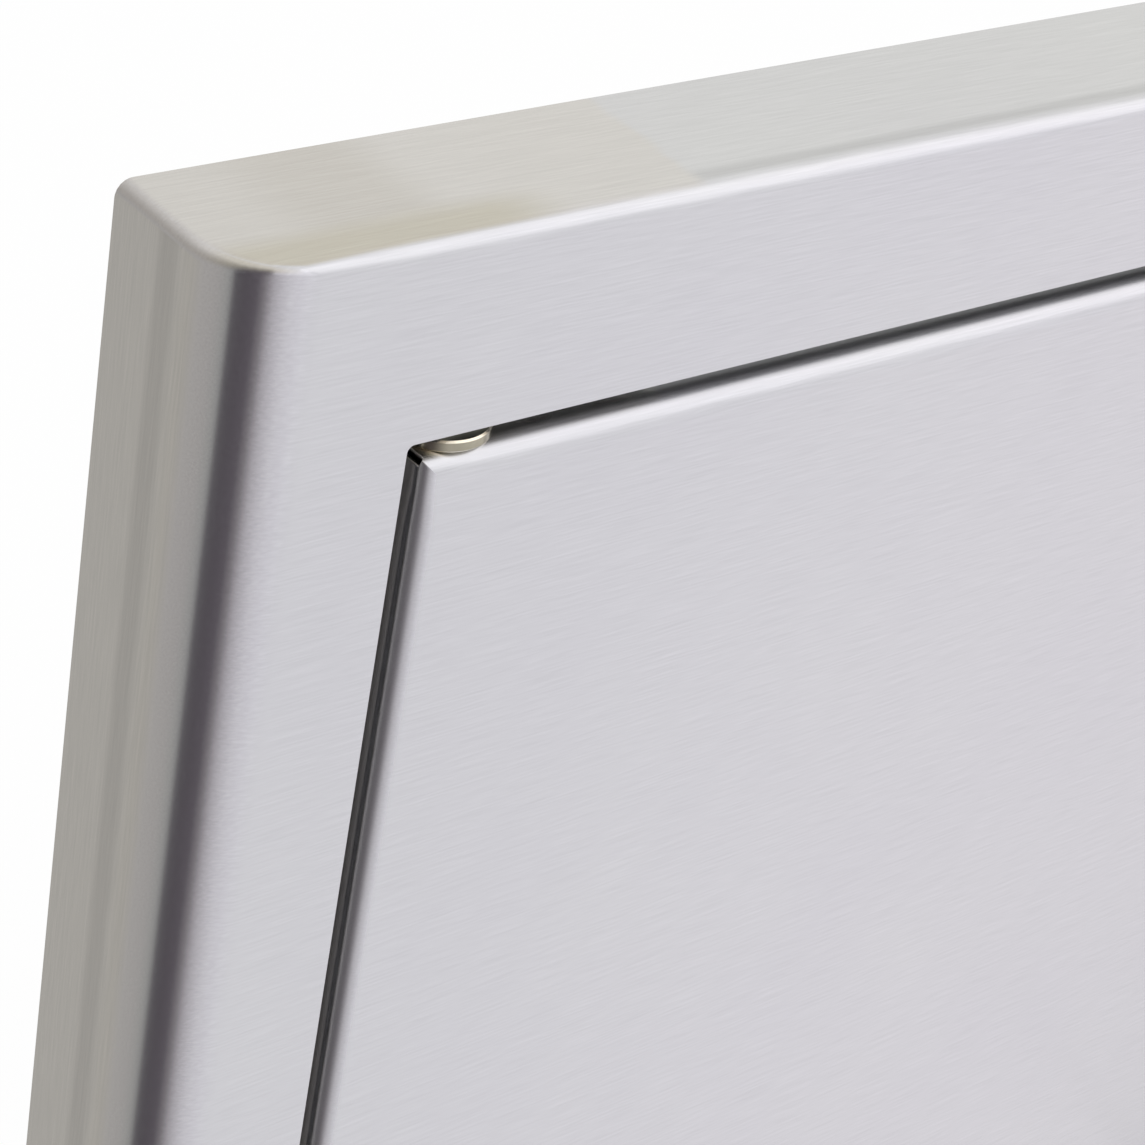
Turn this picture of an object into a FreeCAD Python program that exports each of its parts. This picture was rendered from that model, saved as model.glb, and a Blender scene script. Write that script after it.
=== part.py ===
import FreeCAD, Part
import Sketcher
import math
import os

# Single access door for an outdoor kitchen island: a folded stainless bezel with a sleeve behind it, and an
# inset double-skinned door that swings outwards on two vertical pivot pins at its left edge.
#
# Millimetres. X runs right, Y into the island and Z up. The origin is the centre of the opening, on the
# plane where the bezel rests against the island, so the bezel's face is at Y = -frame_depth.

document = FreeCAD.newDocument("access_door")

# Driving sizes, each with its own cell and alias.
DIMENSIONS = [
    # Bezel
    ("overall_width", 508.0),
    ("overall_height", 685.8),
    ("face_width", 38.1),
    ("frame_depth", 36.0),
    ("frame_sheet", 1.2),
    ("side_bend", 15.3),
    ("fold_bend", 2.3),
    ("return_lip", 12.0),
    # Sleeve that goes into the cut-out
    ("sleeve_step", 3.0),
    ("sleeve_sheet", 1.2),
    ("sleeve_bend", 1.0),
    ("sleeve_flange", 18.0),
    ("sleeve_reach", 45.0),
    ("mount_hole", 2.5),
    ("mount_setback", 25.0),
    ("side_pitch", 400.0),
    ("end_pitch", 240.0),
    # Door pan and its gaps
    ("side_gap", 4.0),
    ("end_gap", 4.2),
    ("door_depth", 26.0),
    ("door_sheet", 1.2),
    ("door_bend", 3.4),
    ("corner_slot", 1.0),
    ("slot_start", 1.5),
    ("slot_reach", 9.0),
    # Door liner and stiffener
    ("liner_sheet", 1.0),
    ("liner_bend", 1.0),
    ("liner_flange", 12.0),
    ("liner_relief", 2.0),
    ("hat_web", 40.0),
    ("hat_flange", 14.0),
    ("hat_sheet", 1.0),
    ("hat_bend", 1.0),
    ("hat_end", 30.0),
    # Pivots
    ("pin_radius", 3.5),
    ("pin_engagement", 14.0),
    ("hole_margin", 0.5),
    ("pin_chamfer", 0.8),
    ("spigot_step", 1.0),
    ("running_fit", 0.05),
    ("bush_wall", 1.2),
    ("bush_collar", 1.25),
    ("collar_height", 1.5),
    ("bush_length", 12.0),
    ("bush_room", 2.2),
    ("washer_radius", 9.5),
    ("washer_thickness", 2.3),
    ("washer_bore", 0.4),
    ("washer_edge", 0.35),
    ("washer_lift", 0.33),
    ("doubler_sheet", 3.0),
    ("doubler_length", 30.0),
    ("doubler_margin", 1.0),
    ("doubler_bevel", 2.0),
    # Pivot plates of the frame
    ("plate_front", 3.2),
    ("plate_rear", 14.0),
    ("plate_margin", 1.0),
    ("plate_tail", 8.0),
    ("plate_corner", 2.0),
    ("plate_pitch", 18.0),
    ("plate_first", 20.0),
    # Machine screws and nuts of the pivot plates
    ("screw_radius", 2.5),
    ("screw_head", 4.6),
    ("screw_rim", 0.3),
    ("screw_spare", 1.2),
    ("screw_fit", 0.1),
    ("nut_flats", 8.0),
    ("nut_height", 4.0),
    # Stop strip and its rubber bumpers
    ("stop_width", 14.0),
    ("stop_leg", 15.0),
    ("stop_sheet", 1.2),
    ("stop_length", 480.0),
    ("bumper_radius", 3.0),
    ("bumper_height", 2.5),
    ("bumper_edge", 0.8),
    ("bumper_pitch", 200.0),
    ("closing_gap", 0.3),
    # Magnetic catches
    ("catch_inset", 42.0),
    ("catch_body", 30.0),
    ("catch_ears", 46.0),
    ("catch_depth", 14.0),
    ("catch_wall", 2.4),
    ("ear_height", 3.0),
    ("ear_pitch", 38.0),
    ("ear_setback", 4.0),
    ("catch_edge", 2.0),
    ("magnet_length", 22.0),
    ("magnet_height", 8.0),
    ("magnet_depth", 9.0),
    ("pole_sheet", 1.5),
    ("pole_proud", 0.5),
    ("pole_fit", 0.3),
    ("catch_screw", 2.0),
    ("catch_screw_head", 3.6),
    ("catch_head_height", 2.2),
    ("catch_nut_flats", 7.0),
    ("catch_nut_height", 3.2),
    # Strikers on the door
    ("striker_length", 46.0),
    ("striker_height", 14.0),
    ("striker_sheet", 1.2),
    ("striker_drop", 8.6),
    ("striker_corner", 2.0),
    ("rivet_pitch", 38.0),
    ("rivet_radius", 1.6),
    ("rivet_head", 2.5),
    ("rivet_head_height", 0.8),
    # Pull handle
    ("handle_inset", 40.0),
    ("handle_radius", 8.0),
    ("handle_length", 250.0),
    ("post_inset", 29.0),
    ("handle_standoff", 40.0),
    ("handle_end", 1.5),
    ("post_radius", 6.0),
    ("post_foot", 9.0),
    ("post_foot_height", 3.0),
    ("post_foot_edge", 1.0),
    ("handle_screw", 3.0),
    ("handle_screw_bite", 14.0),
    ("handle_screw_head", 6.0),
    ("handle_head_height", 3.5),
    ("handle_head_edge", 1.5),
    ("spacer_wall", 2.7),
]

sizes = document.addObject("Spreadsheet::Sheet", "sizes")
for row, (alias, number) in enumerate(DIMENSIONS, start=1):
    sizes.set(f"A{row}", alias)
    sizes.set(f"B{row}", str(number))
    sizes.setAlias(f"B{row}", alias)
document.recompute()

# How far a cutting solid runs past the faces that it cuts.
OVERRUN = "1"

# Places that follow from the driving sizes.
opening_x = "(sizes.overall_width / 2 - sizes.face_width)"
opening_z = "(sizes.overall_height / 2 - sizes.face_width)"
face_y = "(-sizes.frame_depth)"
sleeve_x = f"({opening_x} + sizes.sleeve_step)"
sleeve_z = f"({opening_z} + sizes.sleeve_step)"
sleeve_front = f"({face_y} + sizes.frame_sheet)"
door_x = f"({opening_x} - sizes.side_gap)"
door_z = f"({opening_z} - sizes.end_gap)"
door_back = f"({face_y} + sizes.door_depth)"
pan_x = f"({door_x} - sizes.door_sheet)"
pan_z = f"({door_z} - sizes.door_sheet)"
pan_front = f"({face_y} + sizes.door_sheet)"
liner_front = f"({door_back} - sizes.liner_sheet)"
bush_bore = "(sizes.pin_radius + sizes.running_fit)"
bush_radius = f"({bush_bore} + sizes.bush_wall)"
collar_radius = f"({bush_radius} + sizes.bush_collar)"
pivot_x = f"({collar_radius} + sizes.bush_room - {pan_x})"
bush_hole = f"({bush_radius} + sizes.running_fit)"
pivot_y = f"({pan_front} + sizes.door_bend + sizes.hole_margin + {bush_hole})"
plate_height = "(sizes.end_gap + sizes.sleeve_step - sizes.washer_thickness - sizes.washer_lift)"
plate_low = f"({sleeve_z} - {plate_height})"
spigot_radius = "(sizes.pin_radius - sizes.spigot_step)"
doubler_left = f"(sizes.doubler_bevel - {pan_x})"
doubler_right = f"({pivot_x} + sizes.doubler_length)"
doubler_back = f"({pivot_y} + {collar_radius} + sizes.doubler_margin)"
doubler_low = f"({pan_z} - sizes.doubler_sheet)"
striker_y = f"({door_back} + sizes.striker_sheet)"
striker_z = f"({door_z} - sizes.striker_drop)"
pole_tip = f"({striker_y} + sizes.closing_gap)"
catch_front = f"({pole_tip} + sizes.pole_proud)"
catch_x = f"({opening_x} - sizes.catch_inset)"
catch_stack = "(sizes.magnet_height + 2 * sizes.pole_sheet)"
catch_end = f"({striker_z} - {catch_stack} / 2 - sizes.pole_fit - sizes.catch_wall)"
ear_low = f"({sleeve_z} - sizes.ear_height)"
ear_y = f"({catch_front} + sizes.ear_setback)"
stop_front = f"({door_back} + sizes.closing_gap + sizes.bumper_height)"
stop_x = f"({sleeve_x} - sizes.stop_width)"
bumper_x = f"({stop_x} + sizes.bumper_radius + sizes.bumper_edge)"
handle_x = f"({door_x} - sizes.handle_inset)"
handle_y = f"({face_y} - sizes.handle_standoff)"
post_z = "(sizes.handle_length / 2 - sizes.post_inset)"
screw_hole = "(sizes.handle_screw + sizes.screw_fit)"


def value(expression):
    """The number that an expression of the sheet's cells stands for."""
    found = sizes.evalExpression(expression)
    return float(getattr(found, "Value", found))


def bind(thing, **expressions):
    """Ties properties of an object to the sheet; an underscore stands for a dot."""
    for name, expression in expressions.items():
        thing.setExpression(name.replace("_", "."), expression)


# Sketches on a body's own origin planes

def plane_sketch(body, name, role, offset):
    """A sketch on one of the body's origin planes, moved along that plane's normal by offset."""
    plane = [item for item in body.Origin.OriginFeatures if item.Role == role][0]
    sketch = body.newObject("Sketcher::SketchObject", name)
    sketch.AttachmentSupport = (plane, [""])
    sketch.MapMode = "FlatFace"
    if offset is not None:
        sketch.setExpression(".AttachmentOffset.Base.z", offset)
    return sketch


def plan_sketch(body, name, at=None):
    """Across is X, up is Y, seen from above, at a height Z."""
    return plane_sketch(body, name, "XY_Plane", at)


def front_sketch(body, name, at=None):
    """Across is X, up is Z, seen from the front, at a depth Y. This plane's normal is -Y."""
    return plane_sketch(body, name, "XZ_Plane", None if at is None else f"-({at})")


def side_sketch(body, name, at=None):
    """Across is Y, up is Z, seen from the right, at a place X."""
    return plane_sketch(body, name, "YZ_Plane", at)


def constrain(sketch, kind, *args):
    """Adds a constraint whose last argument is an expression of the sheet."""
    expression = args[-1]
    index = sketch.addConstraint(Sketcher.Constraint(kind, *args[:-1], value(expression)))
    sketch.setExpression(f"Constraints[{index}]", expression)


def place_point(sketch, geometry, position, across, up):
    """Holds a point of the sketch at its two coordinates from the origin."""
    constrain(sketch, "DistanceX", -1, 1, geometry, position, across)
    constrain(sketch, "DistanceY", -1, 1, geometry, position, up)


def draw_outline(sketch, corners):
    """A closed outline of lines through corners (across, up, bend), where a bend is a tangent arc or None."""
    points = [FreeCAD.Vector(value(across), value(up), 0) for across, up, bend in corners]
    count = len(points)
    arriving = []
    leaving = []
    for i, (across, up, bend) in enumerate(corners):
        back = (points[i - 1] - points[i]).normalize()
        on = (points[(i + 1) % count] - points[i]).normalize()
        trim = 0.0
        if bend is not None:
            trim = value(bend) / math.tan(back.getAngle(on) / 2)
        arriving.append(points[i] + back * trim)
        leaving.append(points[i] + on * trim)
    lines = [
        sketch.addGeometry(Part.LineSegment(leaving[i], arriving[(i + 1) % count]), False)
        for i in range(count)
    ]
    for i, (across, up, bend) in enumerate(corners):
        before = lines[i - 1]
        after = lines[i]
        if bend is None:
            sketch.addConstraint(Sketcher.Constraint("Coincident", before, 2, after, 1))
            place_point(sketch, after, 1, across, up)
            continue
        radius = value(bend)
        middle_way = (arriving[i] + leaving[i]) * 0.5 - points[i]
        reach = middle_way.Length
        half_chord = (arriving[i] - leaving[i]).Length / 2
        centre = points[i] + middle_way * (1 + half_chord * half_chord / reach / reach)
        middle = centre + (points[i] - centre).normalize() * radius
        arc = sketch.addGeometry(Part.Arc(arriving[i], middle, leaving[i]), False)
        starts_here = sketch.getPoint(arc, 1).distanceToPoint(arriving[i]) < radius * 1e-6
        first = 1 if starts_here else 2
        corner = sketch.addGeometry(Part.Point(points[i]), True)
        place_point(sketch, corner, 1, across, up)
        sketch.addConstraint(Sketcher.Constraint("PointOnObject", corner, 1, before))
        sketch.addConstraint(Sketcher.Constraint("PointOnObject", corner, 1, after))
        sketch.addConstraint(Sketcher.Constraint("Tangent", before, 2, arc, first))
        sketch.addConstraint(Sketcher.Constraint("Tangent", arc, 3 - first, after, 1))
        constrain(sketch, "Radius", arc, bend)


def draw_circle(sketch, across, up, radius):
    """A circle whose centre and radius follow the sheet."""
    centre = FreeCAD.Vector(value(across), value(up), 0)
    circle = sketch.addGeometry(Part.Circle(centre, FreeCAD.Vector(0, 0, 1), value(radius)), False)
    place_point(sketch, circle, 3, across, up)
    constrain(sketch, "Radius", circle, radius)


def draw_rectangle(sketch, left, right, low, high, corner=None):
    """A rectangle between four coordinates, with rounded corners where a radius is given."""
    places = [(left, low), (right, low), (right, high), (left, high)]
    draw_outline(sketch, [(across, up, corner) for across, up in places])


# Features

def pad(body, sketch, length, way="both"):
    """Pads a sketch: both ways from its plane, along the plane's normal, or against it."""
    feature = body.newObject("PartDesign::Pad", sketch.Name + "_pad")
    feature.Profile = sketch
    feature.SideType = "Symmetric" if way == "both" else "One side"
    feature.Reversed = way == "against"
    feature.setExpression("Length", length)
    document.recompute()
    return feature


def pocket(body, sketch, length=None, way="both"):
    """Cuts a sketch out of the body: right through both ways, or to a depth along or against its normal."""
    before = body.Shape.Volume
    feature = body.newObject("PartDesign::Pocket", sketch.Name + "_pocket")
    feature.Profile = sketch
    if length is None:
        feature.Type = "ThroughAll"
    else:
        feature.setExpression("Length", length)
    feature.SideType = "Symmetric" if way == "both" else "One side"
    feature.Reversed = way == "along"
    document.recompute()
    if body.Shape.Volume > before - 1e-3:
        raise RuntimeError(f"{feature.Name} cuts nothing")
    return feature


def new_body(name):
    return document.addObject("PartDesign::Body", name)


def strip(name, sketch_kind, corners, length):
    """A bar of one outline, as long both ways from the plane of that outline."""
    body = new_body(name)
    sketch = sketch_kind(body, name + "_outline")
    draw_outline(sketch, corners)
    pad(body, sketch, length)
    return body


def block(name, left, right, front, back, low, high):
    """A plain block between six coordinates."""
    box = document.addObject("Part::Box", name)
    bind(
        box,
        Length=f"{right} - {left}",
        Width=f"{back} - {front}",
        Height=f"{high} - {low}",
        Placement_Base_x=left,
        Placement_Base_y=front,
        Placement_Base_z=low,
    )
    return box


# Turns that carry a piece made along +Z to lie along another way.
TURNS = {
    "+Z": FreeCAD.Rotation(),
    "-Z": FreeCAD.Rotation(FreeCAD.Vector(1, 0, 0), 180),
    "+Y": FreeCAD.Rotation(FreeCAD.Vector(1, 0, 0), -90),
    "-Y": FreeCAD.Rotation(FreeCAD.Vector(1, 0, 0), 90),
}


def put(piece, way, at_x, at_y, at_z):
    """Points a piece along a way and ties its origin to a place."""
    piece.Placement = FreeCAD.Placement(FreeCAD.Vector(), TURNS[way])
    bind(piece, Placement_Base_x=at_x, Placement_Base_y=at_y, Placement_Base_z=at_z)
    return piece


def rod(name, way, at_x, at_y, at_z, radius, length):
    """A plain cylinder from a place along a way."""
    cylinder = document.addObject("Part::Cylinder", name)
    bind(cylinder, Radius=radius, Height=length)
    return put(cylinder, way, at_x, at_y, at_z)


def turned(name, way, at_x, at_y, at_z, corners):
    """A piece revolved from corners (radius, height, bend) about its own axis, then put in place."""
    body = new_body(name)
    sketch = front_sketch(body, name + "_profile")
    draw_outline(sketch, corners)
    feature = body.newObject("PartDesign::Revolution", name + "_turn")
    feature.Profile = sketch
    feature.ReferenceAxis = (sketch, ["V_Axis"])
    feature.Angle = 360
    document.recompute()
    return put(body, way, at_x, at_y, at_z)


def fuse(name, pieces):
    joined = document.addObject("Part::MultiFuse", name)
    joined.Shapes = pieces
    return joined


def cut(name, base, tool):
    trimmed = document.addObject("Part::Cut", name)
    trimmed.Base = base
    trimmed.Tool = tool
    return trimmed


def group(name, pieces):
    """Several equal pieces kept as separate solids of one sub-part."""
    kept = document.addObject("Part::Compound", name)
    kept.Links = pieces
    return kept


def folded_block(name, half_width, half_height, bent, rear, side_bend, fold_bend):
    """A block whose left and right edges are rounded in plan, and whose top and bottom edges are rounded in
    side view, on the face at Y = bent. The two roundings meet in a crisp curve at each corner."""
    plan = strip(
        name + "_plan",
        plan_sketch,
        [
            (f"-{half_width}", rear, None),
            (f"-{half_width}", bent, side_bend),
            (half_width, bent, side_bend),
            (half_width, rear, None),
        ],
        f"2 * {half_height}",
    )
    side = strip(
        name + "_side",
        side_sketch,
        [
            (rear, f"-{half_height}", None),
            (bent, f"-{half_height}", fold_bend),
            (bent, half_height, fold_bend),
            (rear, half_height, None),
        ],
        f"2 * {half_width}",
    )
    common = document.addObject("Part::Common", name)
    common.Base = plan
    common.Tool = side
    return common


# Frame pieces

def make_bezel():
    """The front frame: a folded sheet with a return lip all round against the island."""
    outer_x = "(sizes.overall_width / 2)"
    outer_z = "(sizes.overall_height / 2)"
    blank = folded_block(
        "bezel_blank",
        outer_x,
        outer_z,
        face_y,
        "0",
        "sizes.side_bend + sizes.frame_sheet",
        "sizes.fold_bend + sizes.frame_sheet",
    )
    hollow = folded_block(
        "bezel_hollow",
        f"({outer_x} - sizes.frame_sheet)",
        f"({outer_z} - sizes.frame_sheet)",
        sleeve_front,
        "-sizes.frame_sheet",
        "sizes.side_bend",
        "sizes.fold_bend",
    )
    face_opening = block(
        "face_opening",
        f"(-{opening_x})",
        opening_x,
        f"({face_y} - {OVERRUN})",
        f"({sleeve_front} + {OVERRUN})",
        f"(-{opening_z})",
        opening_z,
    )
    lip_x = f"({outer_x} - sizes.return_lip)"
    lip_z = f"({outer_z} - sizes.return_lip)"
    back_opening = block(
        "back_opening",
        f"(-{lip_x})",
        lip_x,
        f"(-sizes.frame_sheet - {OVERRUN})",
        OVERRUN,
        f"(-{lip_z})",
        lip_z,
    )
    cut("bezel", blank, fuse("bezel_inside", [hollow, face_opening, back_opening]))


def sleeve_corners(inner, sign, depth_first):
    """The angle section of a sleeve piece: a flange behind the bezel's face and a leg into the cut-out."""
    outer = f"({inner} + sizes.sleeve_sheet)"
    flange_end = f"({inner} + sizes.sleeve_flange)"
    flange_back = f"({sleeve_front} + sizes.sleeve_sheet)"
    section = [
        (inner, sleeve_front, "sizes.sleeve_bend + sizes.sleeve_sheet"),
        (flange_end, sleeve_front, None),
        (flange_end, flange_back, None),
        (outer, flange_back, "sizes.sleeve_bend"),
        (outer, "sizes.sleeve_reach", None),
        (inner, "sizes.sleeve_reach", None),
    ]
    corners = []
    for away, depth, bend in section:
        away = f"{sign} * {away}"
        corners.append((depth, away, bend) if depth_first else (away, depth, bend))
    return corners


def make_side_sleeve(name, sign):
    """A tall sleeve piece, with its two mounting screw holes."""
    body = strip(
        name, plan_sketch, sleeve_corners(sleeve_x, sign, False), f"2 * ({sleeve_z} + sizes.sleeve_sheet)"
    )
    holes = side_sketch(body, name + "_holes")
    for up in (-1, 1):
        draw_circle(holes, "sizes.mount_setback", f"{up} * sizes.side_pitch / 2", "sizes.mount_hole")
    pocket(body, holes)


def make_end_sleeve(name, sign):
    """A wide sleeve piece, with holes for the mounting screws, the pivot plate and the catch."""
    body = strip(name, side_sketch, sleeve_corners(sleeve_z, sign, True), f"2 * {sleeve_x}")
    holes = plan_sketch(body, name + "_holes")
    for across in (-1, 1):
        draw_circle(holes, f"{across} * sizes.end_pitch / 2", "sizes.mount_setback", "sizes.mount_hole")
        draw_circle(
            holes,
            f"{catch_x} + {across} * sizes.ear_pitch / 2",
            ear_y,
            "sizes.catch_screw + sizes.screw_fit",
        )
    for at_x in plate_screw_places():
        draw_circle(holes, at_x, pivot_y, "sizes.screw_radius + sizes.screw_fit")
    pocket(body, holes)


def plate_screw_places():
    first = f"({pivot_x} + sizes.plate_first)"
    return [first, f"({first} + sizes.plate_pitch)"]


def countersunk(name, way, at_x, at_z, grow):
    """A countersunk screw from the face of its head along a way; grow widens it into its clearance hole."""
    head = f"(sizes.screw_head + {grow})"
    shank = f"(sizes.screw_radius + {grow})"
    taper_end = f"(sizes.screw_rim + {head} - {shank})"
    length = f"({plate_height} + sizes.sleeve_sheet + sizes.nut_height + sizes.screw_spare)"
    return turned(
        name,
        way,
        at_x,
        pivot_y,
        at_z,
        [
            ("0", "0", None),
            (head, "0", None),
            (head, "sizes.screw_rim", None),
            (shank, taper_end, None),
            (shank, length, None),
            ("0", length, None),
        ],
    )


def nut(name, way, at_x, at_y, at_z, flats, height, hole):
    """A hexagon nut."""
    prism = document.addObject("Part::Prism", name + "_hexagon")
    prism.Polygon = 6
    bind(prism, Circumradius=f"{flats} / sqrt(3)", Height=height)
    put(prism, way, at_x, at_y, at_z)
    bore = rod(name + "_bore", way, at_x, at_y, at_z, hole, height)
    return cut(name, prism, bore)


def make_pivot_plates():
    """The plates on the sleeve's top and bottom, their pins, washers and fasteners."""
    screws = []
    nuts = []
    for where, sign, way, back_way in (("upper", 1, "+Z", "-Z"), ("lower", -1, "-Z", "+Z")):
        inner_face = f"({sign} * {plate_low})"
        outer_face = f"({sign} * {sleeve_z})"
        body = new_body(f"{where}_pivot_plate_blank")
        sketch = plan_sketch(body, f"{where}_plate_outline", inner_face)
        draw_rectangle(
            sketch,
            f"(sizes.plate_margin - {sleeve_x})",
            f"({plate_screw_places()[1]} + sizes.plate_tail)",
            f"({face_y} + sizes.plate_front)",
            f"({pivot_y} + sizes.plate_rear)",
            "sizes.plate_corner",
        )
        pad(body, sketch, plate_height, "along" if sign > 0 else "against")
        tools = [
            rod(
                f"{where}_spigot_hole",
                way,
                pivot_x,
                pivot_y,
                inner_face,
                f"{spigot_radius} + sizes.running_fit",
                plate_height,
            )
        ]
        for number, at_x in enumerate(plate_screw_places(), start=1):
            place = f"{where}_{number}"
            tools.append(countersunk(f"plate_hole_{place}", way, at_x, inner_face, "sizes.screw_fit"))
            screws.append(countersunk(f"plate_screw_{place}", way, at_x, inner_face, "0"))
            nuts.append(
                nut(
                    f"plate_nut_{place}",
                    way,
                    at_x,
                    pivot_y,
                    f"({sign} * ({sleeve_z} + sizes.sleeve_sheet))",
                    "sizes.nut_flats",
                    "sizes.nut_height",
                    "sizes.screw_radius + sizes.running_fit",
                )
            )
        cut(f"{where}_pivot_plate", body, fuse(f"{where}_plate_holes", tools))

        tip = "(sizes.washer_lift + sizes.washer_thickness + sizes.pin_engagement)"
        shoulder = plate_height
        end = f"({shoulder} + {tip})"
        turned(
            f"{where}_pivot_pin",
            back_way,
            pivot_x,
            pivot_y,
            outer_face,
            [
                ("0", "0", None),
                (spigot_radius, "0", None),
                (spigot_radius, shoulder, None),
                ("sizes.pin_radius", shoulder, None),
                ("sizes.pin_radius", f"{end} - sizes.pin_chamfer", None),
                ("sizes.pin_radius - sizes.pin_chamfer", end, None),
                ("0", end, None),
            ],
        )
    group("plate_screws", screws)
    group("plate_nuts", nuts)


def make_washer(name, at_z):
    """A pivot washer with broken outer edges, from its lower face upwards."""
    bore = "(sizes.pin_radius + sizes.washer_bore)"
    rim = "sizes.washer_radius"
    edge = "sizes.washer_edge"
    thickness = "sizes.washer_thickness"
    turned(
        name,
        "+Z",
        pivot_x,
        pivot_y,
        at_z,
        [
            (bore, "0", None),
            (f"{rim} - {edge}", "0", None),
            (rim, edge, None),
            (rim, f"{thickness} - {edge}", None),
            (f"{rim} - {edge}", thickness, None),
            (bore, thickness, None),
        ],
    )


def make_stop():
    """The angle that the door closes on at its latch side, with three rubber bumpers."""
    inner = f"({sleeve_x} - sizes.stop_sheet)"
    corner_back = f"({stop_front} + sizes.stop_sheet)"
    leg_end = f"({stop_front} + sizes.stop_leg)"
    strip(
        "stop_strip",
        plan_sketch,
        [
            (stop_x, stop_front, None),
            (sleeve_x, stop_front, None),
            (sleeve_x, leg_end, None),
            (inner, leg_end, None),
            (inner, corner_back, None),
            (stop_x, corner_back, None),
        ],
        "sizes.stop_length",
    )
    bumpers = []
    for number, up in enumerate((-1, 0, 1), start=1):
        bumpers.append(
            turned(
                f"bumper_{number}",
                "-Y",
                bumper_x,
                stop_front,
                f"{up} * sizes.bumper_pitch",
                [
                    ("0", "0", None),
                    ("sizes.bumper_radius", "0", None),
                    ("sizes.bumper_radius", "sizes.bumper_height - sizes.bumper_edge", None),
                    ("sizes.bumper_radius - sizes.bumper_edge", "sizes.bumper_height", None),
                    ("0", "sizes.bumper_height", None),
                ],
            )
        )
    group("rubber_bumpers", bumpers)


def make_catches():
    """The magnetic catches under the sleeve's top and on its bottom, near the latch side."""
    magnets = []
    poles = []
    screws = []
    nuts = []
    stack_x = "(sizes.magnet_length / 2)"
    for where, sign, way in (("upper", 1, "+Z"), ("lower", -1, "-Z")):
        body = new_body(f"{where}_catch_housing")
        outline = front_sketch(body, f"{where}_catch_outline", catch_front)
        half_body = "(sizes.catch_body / 2)"
        half_ears = "(sizes.catch_ears / 2)"
        far = f"({sign} * {catch_end})"
        root = f"({sign} * {sleeve_z})"
        ear = f"({sign} * {ear_low})"
        draw_outline(
            outline,
            [
                (f"{catch_x} - {half_ears}", root, None),
                (f"{catch_x} + {half_ears}", root, None),
                (f"{catch_x} + {half_ears}", ear, None),
                (f"{catch_x} + {half_body}", ear, None),
                (f"{catch_x} + {half_body}", far, "sizes.catch_edge"),
                (f"{catch_x} - {half_body}", far, "sizes.catch_edge"),
                (f"{catch_x} - {half_body}", ear, None),
                (f"{catch_x} - {half_ears}", ear, None),
            ],
        )
        pad(body, outline, "sizes.catch_depth", "against")
        mouth = front_sketch(body, f"{where}_catch_mouth", catch_front)
        middle = f"({sign} * {striker_z})"
        half_mouth = f"({catch_stack} / 2 + sizes.pole_fit)"
        draw_rectangle(
            mouth,
            f"{catch_x} - {stack_x} - sizes.pole_fit",
            f"{catch_x} + {stack_x} + sizes.pole_fit",
            f"{middle} - {half_mouth}",
            f"{middle} + {half_mouth}",
        )
        pocket(body, mouth, "sizes.magnet_depth", "against")
        holes = plan_sketch(body, f"{where}_ear_holes")
        for across in (-1, 1):
            draw_circle(
                holes,
                f"{catch_x} + {across} * sizes.ear_pitch / 2",
                ear_y,
                "sizes.catch_screw + sizes.screw_fit",
            )
        pocket(body, holes)

        magnet_back = f"({catch_front} + sizes.magnet_depth)"
        half_magnet = "(sizes.magnet_height / 2)"
        magnets.append(
            block(
                f"{where}_magnet",
                f"({catch_x} - {stack_x})",
                f"({catch_x} + {stack_x})",
                catch_front,
                magnet_back,
                f"({middle} - {half_magnet})",
                f"({middle} + {half_magnet})",
            )
        )
        for part, low in (
            ("low", f"({middle} - {half_magnet} - sizes.pole_sheet)"),
            ("high", f"({middle} + {half_magnet})"),
        ):
            poles.append(
                block(
                    f"{where}_{part}_pole",
                    f"({catch_x} - {stack_x})",
                    f"({catch_x} + {stack_x})",
                    pole_tip,
                    magnet_back,
                    low,
                    f"({low} + sizes.pole_sheet)",
                )
            )
        for number, across in enumerate((-1, 1), start=1):
            at_x = f"({catch_x} + {across} * sizes.ear_pitch / 2)"
            head = "sizes.catch_head_height"
            grip = "(sizes.ear_height + sizes.sleeve_sheet + sizes.catch_nut_height + sizes.screw_spare)"
            screws.append(
                turned(
                    f"catch_screw_{where}_{number}",
                    way,
                    at_x,
                    ear_y,
                    f"({sign} * ({ear_low} - sizes.catch_head_height))",
                    [
                        ("0", "0", None),
                        (f"sizes.catch_screw_head - {head} / 2", "0", None),
                        ("sizes.catch_screw_head", f"{head} / 2", None),
                        ("sizes.catch_screw_head", head, None),
                        ("sizes.catch_screw", head, None),
                        ("sizes.catch_screw", f"{head} + {grip}", None),
                        ("0", f"{head} + {grip}", None),
                    ],
                )
            )
            nuts.append(
                nut(
                    f"catch_nut_{where}_{number}",
                    way,
                    at_x,
                    ear_y,
                    f"({sign} * ({sleeve_z} + sizes.sleeve_sheet))",
                    "sizes.catch_nut_flats",
                    "sizes.catch_nut_height",
                    "sizes.catch_screw + sizes.running_fit",
                )
            )
    group("catch_magnets", magnets)
    group("catch_poles", poles)
    group("catch_screws", screws)
    group("catch_nuts", nuts)


# Door pieces

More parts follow.
